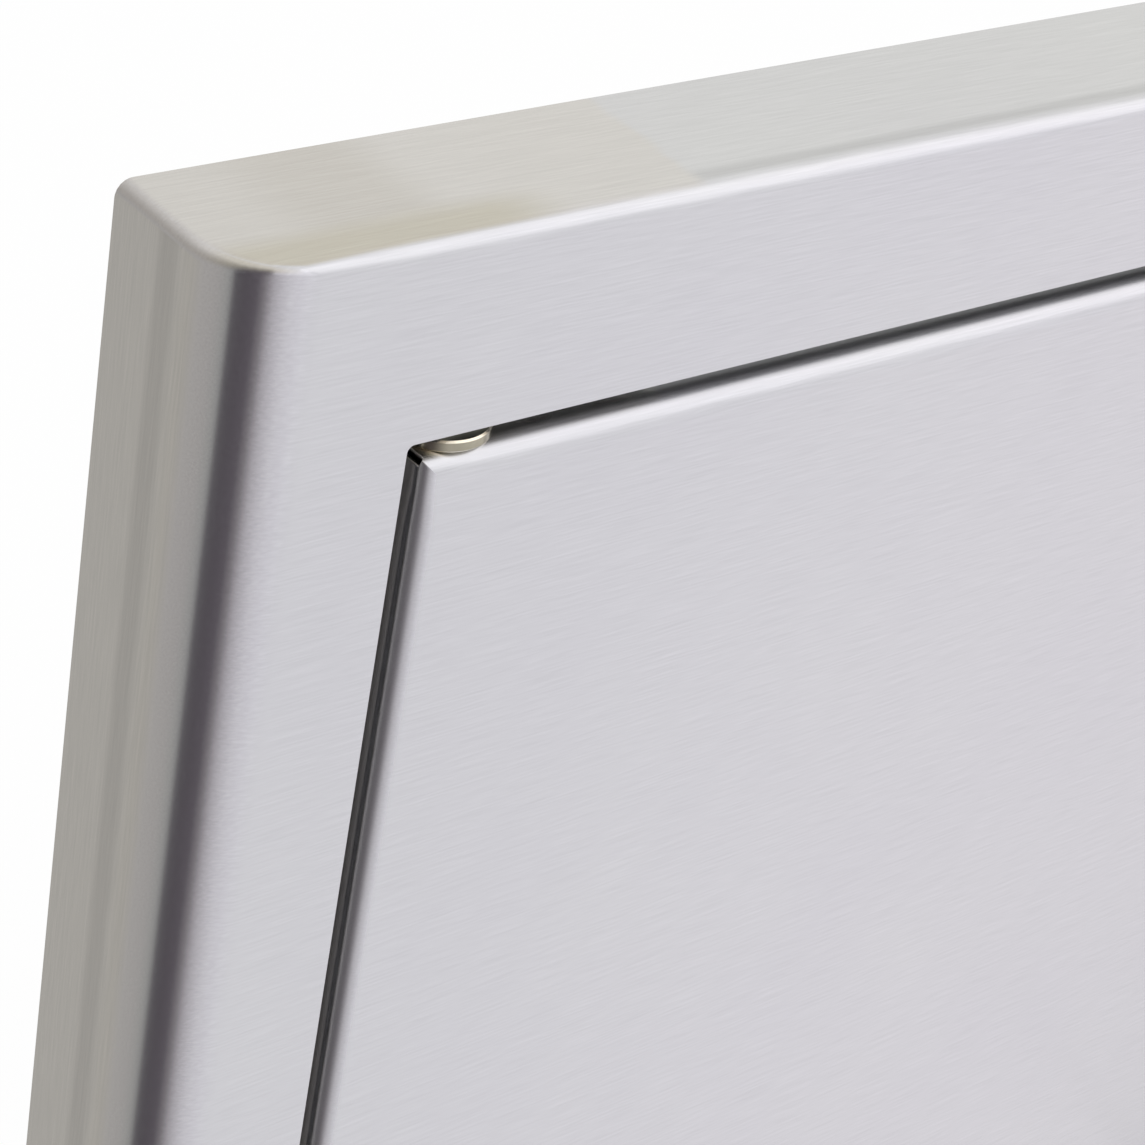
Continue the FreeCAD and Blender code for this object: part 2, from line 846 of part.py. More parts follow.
def make_door_skin():
    """The door's front pan: a folded sheet with an open slot where two flanges meet at each corner."""
    blank = folded_block(
        "skin_blank",
        door_x,
        door_z,
        face_y,
        door_back,
        "sizes.door_bend + sizes.door_sheet",
        "sizes.door_bend + sizes.door_sheet",
    )
    hollow = folded_block(
        "skin_hollow",
        pan_x,
        pan_z,
        pan_front,
        f"({door_back} + {OVERRUN})",
        "sizes.door_bend",
        "sizes.door_bend",
    )
    tools = [hollow]
    slot_length = f"(sizes.door_depth - sizes.slot_start + {OVERRUN})"
    for number, (across, up) in enumerate(((-1, 1), (1, 1), (1, -1), (-1, -1)), start=1):
        slot = new_body(f"corner_slot_{number}")
        sketch = front_sketch(slot, f"corner_slot_outline_{number}")
        draw_rectangle(
            sketch,
            "-sizes.slot_reach / 2",
            "sizes.slot_reach / 2",
            "-sizes.corner_slot / 2",
            "sizes.corner_slot / 2",
        )
        pad(slot, sketch, slot_length, "against")
        tilt = -45 * across * up
        slot.Placement = FreeCAD.Placement(FreeCAD.Vector(), FreeCAD.Rotation(FreeCAD.Vector(0, 1, 0), tilt))
        bind(
            slot,
            Placement_Base_x=f"{across} * {door_x}",
            Placement_Base_y=f"{face_y} + sizes.slot_start",
            Placement_Base_z=f"{up} * {door_z}",
        )
        tools.append(slot)
    tools.append(
        rod(
            "skin_pivot_hole",
            "+Z",
            pivot_x,
            pivot_y,
            f"-{door_z} - {OVERRUN}",
            bush_hole,
            f"2 * ({door_z} + {OVERRUN})",
        )
    )
    tools += handle_holes("skin", f"({face_y} - {OVERRUN})", f"(sizes.door_sheet + 2 * {OVERRUN})")
    cut("door_skin", blank, fuse("skin_inside", tools))


def handle_holes(piece, front, length):
    return [
        rod(
            f"{piece}_handle_hole_{number}",
            "+Y",
            handle_x,
            front,
            f"{up} * {post_z}",
            screw_hole,
            length,
        )
        for number, up in enumerate((-1, 1), start=1)
    ]


def rivet_places():
    """Where the striker rivets go: number, sign up or down, and place across."""
    return [
        (f"{where}_{number}", sign, f"({catch_x} + {across} * sizes.rivet_pitch / 2)")
        for where, sign in (("upper", 1), ("lower", -1))
        for number, across in enumerate((-1, 1), start=1)
    ]


def make_door_liner():
    """The door's inner pan, nested in the skin, with its flanges cut away round the pivots."""
    open_front = f"({door_back} - sizes.liner_flange)"
    blank = folded_block(
        "liner_blank",
        pan_x,
        pan_z,
        door_back,
        open_front,
        "sizes.liner_bend + sizes.liner_sheet",
        "sizes.liner_bend + sizes.liner_sheet",
    )
    hollow = folded_block(
        "liner_hollow",
        f"({pan_x} - sizes.liner_sheet)",
        f"({pan_z} - sizes.liner_sheet)",
        liner_front,
        f"({open_front} - {OVERRUN})",
        "sizes.liner_bend",
        "sizes.liner_bend",
    )
    tools = [hollow]
    relief_right = f"({doubler_right} + sizes.liner_relief)"
    relief_back = f"({liner_front} - sizes.liner_bend)"
    relief_low = f"({doubler_low} - sizes.bush_length)"
    for where, low, high in (
        ("upper", relief_low, f"({pan_z} + {OVERRUN})"),
        ("lower", f"(-{pan_z} - {OVERRUN})", f"(-{relief_low})"),
    ):
        tools.append(
            block(
                f"{where}_liner_relief",
                f"(-{pan_x} - {OVERRUN})",
                relief_right,
                f"({open_front} - {OVERRUN})",
                relief_back,
                low,
                high,
            )
        )
    tools += handle_holes("liner", f"({liner_front} - {OVERRUN})", f"(sizes.liner_sheet + 2 * {OVERRUN})")
    for number, sign, at_x in rivet_places():
        tools.append(
            rod(
                f"liner_rivet_hole_{number}",
                "+Y",
                at_x,
                f"({liner_front} - {OVERRUN})",
                f"{sign} * {striker_z}",
                "sizes.rivet_radius + sizes.running_fit",
                f"(sizes.liner_sheet + 2 * {OVERRUN})",
            )
        )
    cut("door_liner", blank, fuse("liner_inside", tools))


def make_door_stiffener():
    """The hat channel between the two skins, at the middle of the door."""
    web = "(sizes.hat_web / 2)"
    inner_web = "(sizes.hat_web / 2 - sizes.hat_sheet)"
    brim = f"({web} + sizes.hat_flange)"
    brim_front = f"({liner_front} - sizes.hat_sheet)"
    inner_front = f"({pan_front} + sizes.hat_sheet)"
    outer_bend = "sizes.hat_bend + sizes.hat_sheet"
    strip(
        "door_stiffener",
        plan_sketch,
        [
            (f"-{brim}", brim_front, None),
            (f"-{web}", brim_front, "sizes.hat_bend"),
            (f"-{web}", pan_front, outer_bend),
            (web, pan_front, outer_bend),
            (web, brim_front, "sizes.hat_bend"),
            (brim, brim_front, None),
            (brim, liner_front, None),
            (inner_web, liner_front, outer_bend),
            (inner_web, inner_front, "sizes.hat_bend"),
            (f"-{inner_web}", inner_front, "sizes.hat_bend"),
            (f"-{inner_web}", liner_front, outer_bend),
            (f"-{brim}", liner_front, None),
        ],
        f"2 * ({door_z} - sizes.hat_end)",
    )


def make_door_pivots():
    """The doubler plates welded into the door's top and bottom bends at the pivots, and the flanged bushes in
    them."""
    for where, sign, way in (("upper", 1, "-Z"), ("lower", -1, "+Z")):
        body = new_body(f"{where}_door_doubler")
        sketch = side_sketch(body, f"{where}_doubler_section", doubler_left)
        bend_end = f"({pan_front} + sizes.door_bend)"
        bevel_end = f"({bend_end} - sizes.doubler_bevel)"
        outer = f"{sign} * {pan_z}"
        inner = f"{sign} * {doubler_low}"
        draw_outline(
            sketch,
            [
                (doubler_back, outer, None),
                (bend_end, outer, None),
                (bevel_end, f"{sign} * ({pan_z} - sizes.doubler_bevel)", None),
                (bevel_end, inner, None),
                (doubler_back, inner, None),
            ],
        )
        pad(body, sketch, f"{doubler_right} - {doubler_left}", "along")
        hole = plan_sketch(body, f"{where}_doubler_hole")
        draw_circle(hole, pivot_x, pivot_y, bush_hole)
        pocket(body, hole)

        seat = "(sizes.door_sheet + sizes.doubler_sheet)"
        turned(
            f"{where}_bush",
            way,
            pivot_x,
            pivot_y,
            f"{sign} * {door_z}",
            [
                (bush_bore, "0", None),
                (bush_radius, "0", None),
                (bush_radius, seat, None),
                (collar_radius, seat, None),
                (collar_radius, f"{seat} + sizes.collar_height", None),
                (bush_radius, f"{seat} + sizes.collar_height", None),
                (bush_radius, "sizes.bush_length", None),
                (bush_bore, "sizes.bush_length", None),
            ],
        )


def make_strikers():
    """The steel plates that the magnets hold, riveted to the back of the liner."""
    for where, sign in (("upper", 1), ("lower", -1)):
        body = new_body(f"{where}_striker")
        sketch = front_sketch(body, f"{where}_striker_outline", door_back)
        draw_rectangle(
            sketch,
            f"{catch_x} - sizes.striker_length / 2",
            f"{catch_x} + sizes.striker_length / 2",
            f"{sign} * {striker_z} - sizes.striker_height / 2",
            f"{sign} * {striker_z} + sizes.striker_height / 2",
            "sizes.striker_corner",
        )
        for across in (-1, 1):
            draw_circle(
                sketch,
                f"{catch_x} + {across} * sizes.rivet_pitch / 2",
                f"{sign} * {striker_z}",
                "sizes.rivet_radius + sizes.running_fit",
            )
        pad(body, sketch, "sizes.striker_sheet", "against")

    head = "sizes.rivet_head_height"
    grip = "(sizes.rivet_head_height + sizes.liner_sheet + sizes.striker_sheet)"
    rivets = [
        turned(
            f"striker_rivet_{number}",
            "-Y",
            at_x,
            f"{striker_y} + {head}",
            f"{sign} * {striker_z}",
            [
                ("0", "0", None),
                (f"sizes.rivet_head - {head} / 2", "0", None),
                ("sizes.rivet_head", f"{head} / 2", None),
                ("sizes.rivet_head", head, None),
                ("sizes.rivet_radius", head, None),
                ("sizes.rivet_radius", grip, None),
                ("sizes.rivet_head", grip, None),
                ("sizes.rivet_head", f"{grip} + {head}", None),
                ("0", f"{grip} + {head}", None),
            ],
        )
        for number, sign, at_x in rivet_places()
    ]
    group("striker_rivets", rivets)


def make_handle():
    """The upright bar handle on two posts, held by screws through the door and its spacers."""
    half = "(sizes.handle_length / 2)"
    bar_end = "(sizes.handle_radius - sizes.handle_end)"
    turned(
        "handle_bar",
        "+Z",
        handle_x,
        handle_y,
        "0",
        [
            ("0", f"-{half}", None),
            (bar_end, f"-{half}", None),
            ("sizes.handle_radius", f"sizes.handle_end - {half}", None),
            ("sizes.handle_radius", f"{half} - sizes.handle_end", None),
            (bar_end, half, None),
            ("0", half, None),
        ],
    )
    screws = []
    spacers = []
    spacer_length = f"({liner_front} - {pan_front})"
    for where, sign in (("upper", 1), ("lower", -1)):
        level = f"{sign} * {post_z}"
        post = turned(
            f"{where}_post_blank",
            "-Y",
            handle_x,
            face_y,
            level,
            [
                ("0", "0", None),
                ("sizes.post_foot", "0", None),
                ("sizes.post_foot", "sizes.post_foot_height - sizes.post_foot_edge", None),
                ("sizes.post_foot - sizes.post_foot_edge", "sizes.post_foot_height", None),
                ("sizes.post_radius", "sizes.post_foot_height", None),
                ("sizes.post_radius", "sizes.handle_standoff", None),
                ("0", "sizes.handle_standoff", None),
            ],
        )
        saddle = rod(
            f"{where}_post_saddle",
            "+Z",
            handle_x,
            handle_y,
            f"{level} - 2 * sizes.post_radius",
            "sizes.handle_radius",
            "4 * sizes.post_radius",
        )
        thread = rod(
            f"{where}_post_thread",
            "-Y",
            handle_x,
            face_y,
            level,
            "sizes.handle_screw + sizes.running_fit",
            "sizes.handle_screw_bite + sizes.screw_spare",
        )
        cut(f"{where}_handle_post", post, fuse(f"{where}_post_inside", [saddle, thread]))

        head = "sizes.handle_head_height"
        tip = f"({head} + sizes.door_depth + sizes.handle_screw_bite)"
        screws.append(
            turned(
                f"handle_screw_{where}",
                "-Y",
                handle_x,
                f"{door_back} + {head}",
                level,
                [
                    ("0", "0", None),
                    ("sizes.handle_screw_head - sizes.handle_head_edge", "0", None),
                    ("sizes.handle_screw_head", "sizes.handle_head_edge", None),
                    ("sizes.handle_screw_head", head, None),
                    ("sizes.handle_screw", head, None),
                    ("sizes.handle_screw", tip, None),
                    ("0", tip, None),
                ],
            )
        )
        spacers.append(
            turned(
                f"handle_spacer_{where}",
                "+Y",
                handle_x,
                pan_front,
                level,
                [
                    (screw_hole, "0", None),
                    (f"{screw_hole} + sizes.spacer_wall", "0", None),
                    (f"{screw_hole} + sizes.spacer_wall", spacer_length, None),
                    (screw_hole, spacer_length, None),
                ],
            )
        )
    group("handle_screws", screws)
    group("handle_spacers", spacers)


make_bezel()
make_side_sleeve("sleeve_left", -1)
make_side_sleeve("sleeve_right", 1)
make_end_sleeve("sleeve_top", 1)
make_end_sleeve("sleeve_bottom", -1)
make_pivot_plates()
make_washer("upper_washer", door_z)
make_washer("lower_washer", f"-{plate_low}")
make_stop()
make_catches()
make_door_skin()
make_door_liner()
make_door_stiffener()
make_door_pivots()
make_strikers()
make_handle()

SUBPARTS = [
    "bezel",
    "sleeve_left",
    "sleeve_right",
    "sleeve_top",
    "sleeve_bottom",
    "upper_pivot_plate",
    "lower_pivot_plate",
    "upper_pivot_pin",
    "lower_pivot_pin",
    "lower_washer",
    "plate_screws",
    "plate_nuts",
    "stop_strip",
    "rubber_bumpers",
    "upper_catch_housing",
    "lower_catch_housing",
    "catch_magnets",
    "catch_poles",
    "catch_screws",
    "catch_nuts",
    "door_skin",
    "door_liner",
    "door_stiffener",
    "upper_door_doubler",
    "lower_door_doubler",
    "upper_bush",
    "lower_bush",
    "upper_washer",
    "upper_striker",
    "lower_striker",
    "striker_rivets",
    "handle_bar",
    "upper_handle_post",
    "lower_handle_post",
    "handle_screws",
    "handle_spacers",
]

document.recompute()
for item in document.Objects:
    if "Invalid" in item.State or "Error" in item.State:
        raise RuntimeError(f"{item.Name} did not recompute: {item.State}")

os.makedirs("parts", exist_ok=True)
for name in SUBPARTS:
    shape = document.getObject(name).Shape
    if shape.isNull() or not shape.isValid():
        raise RuntimeError(f"{name} has no valid shape")
for name in SUBPARTS:
    piece = document.getObject(name)
    piece.Shape.exportStep(f"parts/{piece.Label}.step")
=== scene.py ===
import bpy
import math
from mathutils import Matrix, Vector


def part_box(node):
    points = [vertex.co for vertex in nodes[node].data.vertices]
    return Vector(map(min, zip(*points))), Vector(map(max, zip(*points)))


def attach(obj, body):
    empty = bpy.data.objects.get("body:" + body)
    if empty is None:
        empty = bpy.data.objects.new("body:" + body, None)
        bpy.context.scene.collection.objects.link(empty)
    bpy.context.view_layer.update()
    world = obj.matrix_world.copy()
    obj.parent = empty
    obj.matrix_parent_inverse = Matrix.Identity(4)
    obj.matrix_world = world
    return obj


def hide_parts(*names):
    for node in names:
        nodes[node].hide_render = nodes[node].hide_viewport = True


# A stainless access door for an outdoor kitchen island, seen close to its top left corner. Metres; the face
# looks along -Y and Z is up. The front frame and the door's pan are remade here with true bends, raw sheet
# edges and an open slot at each door corner. Every other piece keeps its solid and gets its finish.

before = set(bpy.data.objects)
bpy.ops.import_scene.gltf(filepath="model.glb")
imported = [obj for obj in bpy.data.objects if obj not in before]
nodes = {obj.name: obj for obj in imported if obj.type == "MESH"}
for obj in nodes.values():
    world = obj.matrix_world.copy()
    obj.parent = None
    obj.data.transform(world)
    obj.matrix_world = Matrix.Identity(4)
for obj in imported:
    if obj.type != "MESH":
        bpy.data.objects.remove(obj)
SLOT_OF_NODE = {node.name: node.data.materials[0].name.split(".")[0] for node in nodes.values()}
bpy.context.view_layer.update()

MM = 0.001
# Places closer than this are one place, and depths closer than this share one ring of corners.
TOUCH = 1e-7
SAME_DEPTH = 1e-6
FRONT = Vector((0, -1, 0))
REAR = Vector((0, 1, 0))
# Left top, right top, right bottom, left bottom, as seen from the front.
CORNERS = ((-1, 1), (1, 1), (1, -1), (-1, -1))
# How many steps draw a softened corner, a bend or a flange behind it, the round end of a slot, the bend of a back
# edge, the stretch where a bend grows tighter, a rounded lip, a broken arris and half of a round hole.
ARC_STEPS = 6
BEND_STEPS = 14
SLOT_END_STEPS = 8
BACK_STEPS = 5
TIGHT_STEPS = 8
LIP_STEPS = 5
ARRIS_STEPS = 3
HOLE_STEPS = 24


# Sheet metal, built as faces whose corners each have a place and the way that the surface points there

class Skin:
    """Gathers the faces of one piece and makes its mesh."""

    def __init__(self):
        self.faces = []

    def face(self, corners):
        """Adds a face, turned so that it looks the way its corners point."""
        kept = []
        for place, way in corners:
            key = tuple(round(v / TOUCH) for v in place)
            if key not in [k for k, _, _ in kept]:
                kept.append((key, place, way))
        if len(kept) < 3:
            return
        places = [place for _, place, _ in kept]
        crossing = sum(
            ((b - places[0]).cross(c - places[0]) for b, c in zip(places[1:], places[2:])), Vector()
        )
        if crossing.dot(sum((way for _, _, way in kept), Vector())) < 0:
            kept.reverse()
        self.faces.append(kept)

    def rows(self, rows, closed=False):
        """Fills the strips between neighbouring rows of corners."""
        for near, far in zip(rows, rows[1:]):
            count = len(near)
            for i in range(count if closed else count - 1):
                k = (i + 1) % count
                self.face([near[i], near[k], far[k], far[i]])

    def piece(self, name, material, slot, body, *replaced):
        """Makes the object, which rides on its body in the place of the CAD nodes named."""
        index = {}
        places = []
        rings = []
        ways = []
        for face in self.faces:
            ring = []
            for key, place, way in face:
                if key not in index:
                    index[key] = len(places)
                    places.append(place)
                ring.append(index[key])
                ways.append(way.normalized())
            rings.append(ring)
        mesh = bpy.data.meshes.new(name)
        mesh.from_pydata(places, [], rings)
        mesh.polygons.foreach_set("use_smooth", [True] * len(rings))
        mesh.normals_split_custom_set(ways)
        mesh.materials.append(material)
        made = bpy.data.objects.new(name, mesh)
        bpy.context.scene.collection.objects.link(made)
        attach(made, body)
        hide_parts(*replaced)


def fan(first, last):
    """The ways that a rounded corner faces, from one to another."""
    return [first.lerp(last, step / ARC_STEPS).normalized() for step in range(ARC_STEPS + 1)]


def apart(depths):
    """The depths in order, without those that lie on one before them."""
    ordered = sorted(depths)
    return [depth for i, depth in enumerate(ordered) if i == 0 or depth - ordered[i - 1] > SAME_DEPTH]


class Box:
    """A folded sheet box between two corners of the part: its bends at the upright sides, at the top and bottom
    and at the back, how they grow tighter, and its slots. A ring round it lies at a depth behind its face and at an
    inset from its outer surface. outward is 1 on the outside of the sheet and -1 on the inside, and soften is the
    radius of a rounded corner."""

    def __init__(self, low, high, side_bend, fold_bend, back_bend, tight, slot=None):
        self.half_x = high.x
        self.half_z = high.z
        self.face = low.y
        self.reach = high.y - low.y
        self.side_bend = side_bend
        self.fold_bend = fold_bend
        self.back_bend = back_bend
        self.tight = tight
        self.slot = slot

    def edge(self, depth, half, front_bend, inset):
        """Half-width, and the surface's outward and rearward way, on a line that lies the inset inside it."""
        if depth < front_bend:
            turn = math.acos(min(1, (front_bend - depth) / (front_bend - inset)))
            out = math.sin(turn)
            return half - front_bend + (front_bend - inset) * out, out, -math.cos(turn)
        return half - inset, 1, 0

    def depths(self, inset):
        """Depths behind the face at which the box has a ring of corners, up to where its back edge starts."""
        last = self.reach - self.back_bend
        found = {inset, last}
        for bend in (self.side_bend, self.fold_bend):
            for i in range(BEND_STEPS + 1):
                found.add(bend - (bend - inset) * math.cos(math.pi / 2 * i / BEND_STEPS))
        for i in range(BEND_STEPS):
            found.add(self.side_bend + (last - self.side_bend) * i / BEND_STEPS)
        if self.slot:
            for i in range(SLOT_END_STEPS + 1):
                found.add(self.slot.depth(math.pi / 2 * i / SLOT_END_STEPS))
        return apart(d for d in found if inset - TOUCH <= d <= last + TOUCH)

    def back_rings(self, radius):
        """Rings round the small bend of the back edge, where the corners have a radius."""
        rings = []
        for i in range(1, BACK_STEPS + 1):
            turn = math.pi / 2 * i / BACK_STEPS
            draw = self.back_bend * (1 - math.cos(turn))
            y = self.face + self.reach - self.back_bend + self.back_bend * math.sin(turn)
            ring = []
            for number, (sx, sz) in enumerate(CORNERS):
                middle = Vector((sx * (self.half_x - radius), y, sz * (self.half_z - radius)))
                side = Vector((sx, 0, 0))
                cap = Vector((0, 0, sz))
                ring.append([[
                    (middle + out * (radius - draw), out * math.cos(turn) + REAR * math.sin(turn))
                    for out in (fan(cap, side) if number % 2 else fan(side, cap))
                ]])
            rings.append(ring)
        return rings

    def bend(self, level, past_corner=0):
        """The radius of a level or upright bend, which is tighter the nearer it is to the corner's own bend."""
        full = self.fold_bend if level else self.side_bend
        near = max(0, 1 - past_corner / self.tight.length)
        return full - (full - (self.tight.level if level else self.tight.upright)) * near * near

    def side_line(self, side, depth, inset, soften, outward):
        """The points of a ring between the corners of one side, where its bend changes."""
        level = side % 2 == 0
        half, length = (self.half_z, self.half_x) if level else (self.half_x, self.half_z)
        start = self.side_bend if level else self.fold_bend
        sign = (1, 1, -1, -1)[side]
        towards = (1, -1, -1, 1)[side]
        line = []
        stations = [start + self.tight.length * step / TIGHT_STEPS for step in range(1, TIGHT_STEPS + 1)]
        for at in stations + [2 * length - at for at in reversed(stations)]:
            offset, out, back = self.edge(depth, half, self.bend(level, min(at, 2 * length - at) - start), inset)
            along = towards * (at - length)
            y = self.face + depth
            way = Vector((0, back, sign * out)) if level else Vector((sign * out, back, 0))
            place = Vector((along, y, sign * offset)) if level else Vector((sign * offset, y, along))
            line.append((place + way * soften, way * outward))
        return line

    def ring(self, depth, inset, soften, outward, growth=0, cut=False):
        """The corners of one closed line round the box, as a list for each corner of it. growth is how fast the
        softened corner widens with depth, and cut tells that the slot lies there."""
        wide, side_out, side_back = self.edge(depth, self.half_x, self.bend(False), inset)
        tall, cap_out, cap_back = self.edge(depth, self.half_z, self.bend(True), inset)
        open_part = self.slot.open_part(depth) if cut else 0
        ring = []
        for i, (sx, sz) in enumerate(CORNERS):
            side = Vector((sx * side_out, side_back, 0))
            cap = Vector((0, cap_back, sz * cap_out))
            place = Vector((sx * wide, self.face + depth, sz * tall))
            if cut:
                below = place + side * soften - Vector((0, 0, sz * self.slot.upright_gap * open_part))
                beside = place + cap * soften - Vector((sx * self.slot.level_gap * open_part, 0, 0))
                lip = self.slot.lip * open_part if outward > 0 else None
                wall = Vector((-sx, 0, sz)).normalized()
                runs = [
                    rounded_arris(below, side * outward, wall, lip),
                    rounded_arris(beside, cap * outward, -wall, lip)[::-1],
                ]
            elif not soften:
                runs = [[(place, side * outward)], [(place, cap * outward)]]
            else:
                run = []
                for way in fan(side, cap):
                    recede = way.dot(side) + way.dot(cap) - 1
                    run.append((place + way * soften, (way + REAR * recede * growth).normalized()))
                runs = [run]
            ring.append([run[::-1] for run in reversed(runs)] if i % 2 else runs)
        return ring

    def wrap(self, skin, rings, sides, left_out=None):
        """Fills between the rings and the lines of their sides; left_out(side, number) tells a stretch that
        something else fills."""
        for number, (near, far) in enumerate(zip(rings, rings[1:])):
            for i in range(4):
                k = (i + 1) % 4
                if not (left_out and left_out(i, number)):
                    skin.rows([
                        [ring[i][-1][-1], *line[i], ring[k][0][0]]
                        for ring, line in ((near, sides[number]), (far, sides[number + 1]))
                    ])
                if len(near[i]) == len(far[i]):
                    for near_run, far_run in zip(near[i], far[i]):
                        skin.rows([near_run, far_run])


def rounded_arris(end, way, wall, radius):
    """The rounding between a surface that points one way and the cut wall where it ends, or the bare end where
    there is no radius."""
    if radius is None:
        return [(end, way)]
    middle = end - (way + wall) * radius / (1 + way.dot(wall))
    turns = [way.slerp(wall, step / LIP_STEPS) for step in range(LIP_STEPS + 1)]
    return [(middle + turned * radius, turned) for turned in turns]


class Tight:
    """How tight the upright and the level bends are at a corner, and over what length they open to their full
    radius."""

    def __init__(self, upright, level, length):
        self.upright = upright
        self.level = level
        self.length = length


class Slot:
    """The open slot between two flanges at a corner, with a round end near the face: where it starts, how far
    each flange ends short of the corner, and how round its edges were brushed."""

    def __init__(self, start, upright_gap, level_gap, lip):
        self.start = start
        self.upright_gap = upright_gap
        self.level_gap = level_gap
        self.lip = lip
        self.radius = (upright_gap + level_gap) / math.sqrt(8)

    def depth(self, turn):
        return self.start + self.radius * (1 - math.cos(turn))

    def open_part(self, depth):
        """How far the slot is open at a depth behind the face, from 0 to 1."""
        into = depth - self.start
        if into <= 0:
            return 0
        if into < self.radius:
            return math.sqrt(1 - (1 - into / self.radius) ** 2)
        return 1


def rounded_line(half_x, half_z, radius, y, inward=0, rearward=0):
    """A closed line of corners round an opening, whose edge looks inward and rearward."""
    line = []
    for i, (sx, sz) in enumerate(CORNERS):
        ends = [Vector((sx, 0, 0)), Vector((0, 0, sz))]
        if i % 2:
            ends.reverse()
        middle = Vector((sx * (half_x - radius), y, sz * (half_z - radius)))
        line += [(middle + out * radius, REAR * rearward - out * inward) for out in fan(*ends)]
    return line


def raw_edge(skin, half_x, half_z, radius, near, far, broken):
    """The cut edge round an opening, from one face of the sheet to the other, with its two arrises broken."""
    forward = 1 if far > near else -1
    lines = []
    for start, sign in ((near, forward), (far, -forward)):
        arc = []
        for i in range(ARRIS_STEPS + 1):
            turn = math.pi / 2 * i / ARRIS_STEPS
            inward = math.sin(turn)
            rearward = -sign * math.cos(turn)
            grow = broken * (1 - inward)
            y = start + sign * broken * (1 - math.cos(turn))
            arc.append(rounded_line(half_x + grow, half_z + grow, radius + grow, y, inward, rearward))
        lines += arc if start == near else arc[::-1]
    skin.rows(lines, closed=True)


def flat_frame(skin, ring, lines, inner, way):
    """The flat between a ring with the lines of its sides and an opening inside it."""
    each = len(inner) // 4
    for i in range(4):
        k = (i + 1) % 4
        outside = [place for run in ring[i] for place, _ in run]
        inside = [place for place, _ in inner[i * each : (i + 1) * each]]
        skin.face([(place, way) for place in outside + inside[::-1]])
        between = [outside[-1], *(place for place, _ in lines[i]), ring[k][0][0][0]]
        skin.face([(place, way) for place in between + [inner[k * each][0], inside[-1]]])


def flat_with_hole(skin, front, back, start, end, centre, radius, way):
    """A level flat with a round hole, inside four lines of places: its front and its back from start to end, and
    its two ends from front to back. Gives the line round the hole."""
    near = min(range(len(front)), key=lambda i: abs(front[i].x - centre.x))
    towards_start = math.copysign(1, front[0].x - front[-1].x)
    halves = []
    for sign in (towards_start, -towards_start):
        turns = [math.pi * step / HOLE_STEPS for step in range(HOLE_STEPS + 1)]
        halves.append([
            Vector((centre.x + sign * radius * math.sin(turn), centre.y - radius * math.cos(turn), front[0].z))
            for turn in turns
        ])
    first = front[: near + 1] + halves[0] + back[near::-1] + start[::-1]
    second = front[near:] + end + back[:near:-1] + [back[near]] + halves[1][::-1]
    for outline in (first, second):
        skin.face([(place, way) for place in outline])
    return halves[0] + halves[1][-2:0:-1]


# Finishes

def linear(colour):
    """The linear colour of an sRGB hex value."""
    channels = []
    for i in (0, 2, 4):
        level = int(colour[i : i + 2], 16) / 255
        channels.append(level / 12.92 if level <= 0.04045 else ((level + 0.055) / 1.055) ** 2.4)
    return (*channels, 1)


def add(tree, kind, inputs=None, **settings):
    """Adds a node. An input, named or numbered, is a value, an output of another node, or a node whose first
    output is meant."""
    made = tree.nodes.new(kind)
    for name, setting in settings.items():
        setattr(made, name, setting)
    for name, given in (inputs or {}).items():
        socket = next(s for i, s in enumerate(made.inputs) if s.enabled and name in (i, s.name))
        if isinstance(given, bpy.types.Node):
            given = next(s for s in given.outputs if s.enabled)
        if isinstance(given, bpy.types.NodeSocket):
            tree.links.new(given, socket)
        else:
            socket.default_value = given
    return made


def new_material(name):
    material = bpy.data.materials.new(name)
    material.use_nodes = True
    tree = material.node_tree
    tree.nodes.clear()
    return material, tree


def share(tree, *parts):
    """The product of its parts over the surface. A part is an output, or a soft step: a value, where the step is
    0, where it is 1, and its least if that isn't 0."""
    product = None
    for part in parts:
        if isinstance(part, tuple):
            value, none, full, *least = part
            part = add(
                tree,
                "ShaderNodeMapRange",
                {"Value": value, "From Min": none, "From Max": full, "To Min": least[0] if least else 0.0},
                interpolation_type="SMOOTHSTEP",
            )
        if product is not None:
            part = add(tree, "ShaderNodeMath", {0: product, 1: part}, operation="MULTIPLY")
        product = part
    return product


def layered(tree, colour, *layers):
    """A colour with others laid over it, each given after the share of it that shows."""
    for part, over in layers:
        colour = add(tree, "ShaderNodeMix", {"Factor": part, "A": colour, "B": over}, data_type="RGBA")
    return colour


def strokes(tree, place, stroke, spacing, axis):
    """Fine parallel strokes along an axis: their length and spacing are real sizes."""
    scale = [1 / spacing] * 3
    scale["XYZ".index(axis)] = 1 / stroke
    stretched = add(tree, "ShaderNodeMapping", {"Vector": place, "Scale": scale})
    return add(
        tree, "ShaderNodeTexNoise", {"Vector": stretched, "Scale": 1.0, "Detail": 3.0, "Roughness": 0.65}
    )


# How far from the middle of the door the warm patch starts and is whole, where it is deepest, where its darker
# olive painted shade lies, and where the door's folded edge lies.
PATCH = (159.7 * MM, 163.2 * MM)
DEEP_FROM = (202 * MM, 216 * MM)
DEEP_TO = (242 * MM, 226 * MM)
PAINTED_OLIVE_FROM = (184 * MM, 202 * MM)
DOOR_EDGE_FROM = (206.6 * MM, 208.5 * MM)
DOOR_EDGE_TO = (214.5 * MM, 212.5 * MM)
# How far behind the island's face, so less than 0, the olive painted shade lies, and where the faint run-out line
# and the painted shade line beside the fold start and end.
PAINTED_OLIVE_BESIDE_FOLD = (-23 * MM, -30 * MM)
RUN_OUT_FROM = (-21.0 * MM, -18.0 * MM)
RUN_OUT_TO = (-12.5 * MM, -15.5 * MM)
FOLD_SHADE_FROM = (-33.6 * MM, -32.2 * MM)
FOLD_SHADE_TO = (-29.0 * MM, -31.4 * MM)
FAINT = 0.15
DEEP_LEAST = 0.35
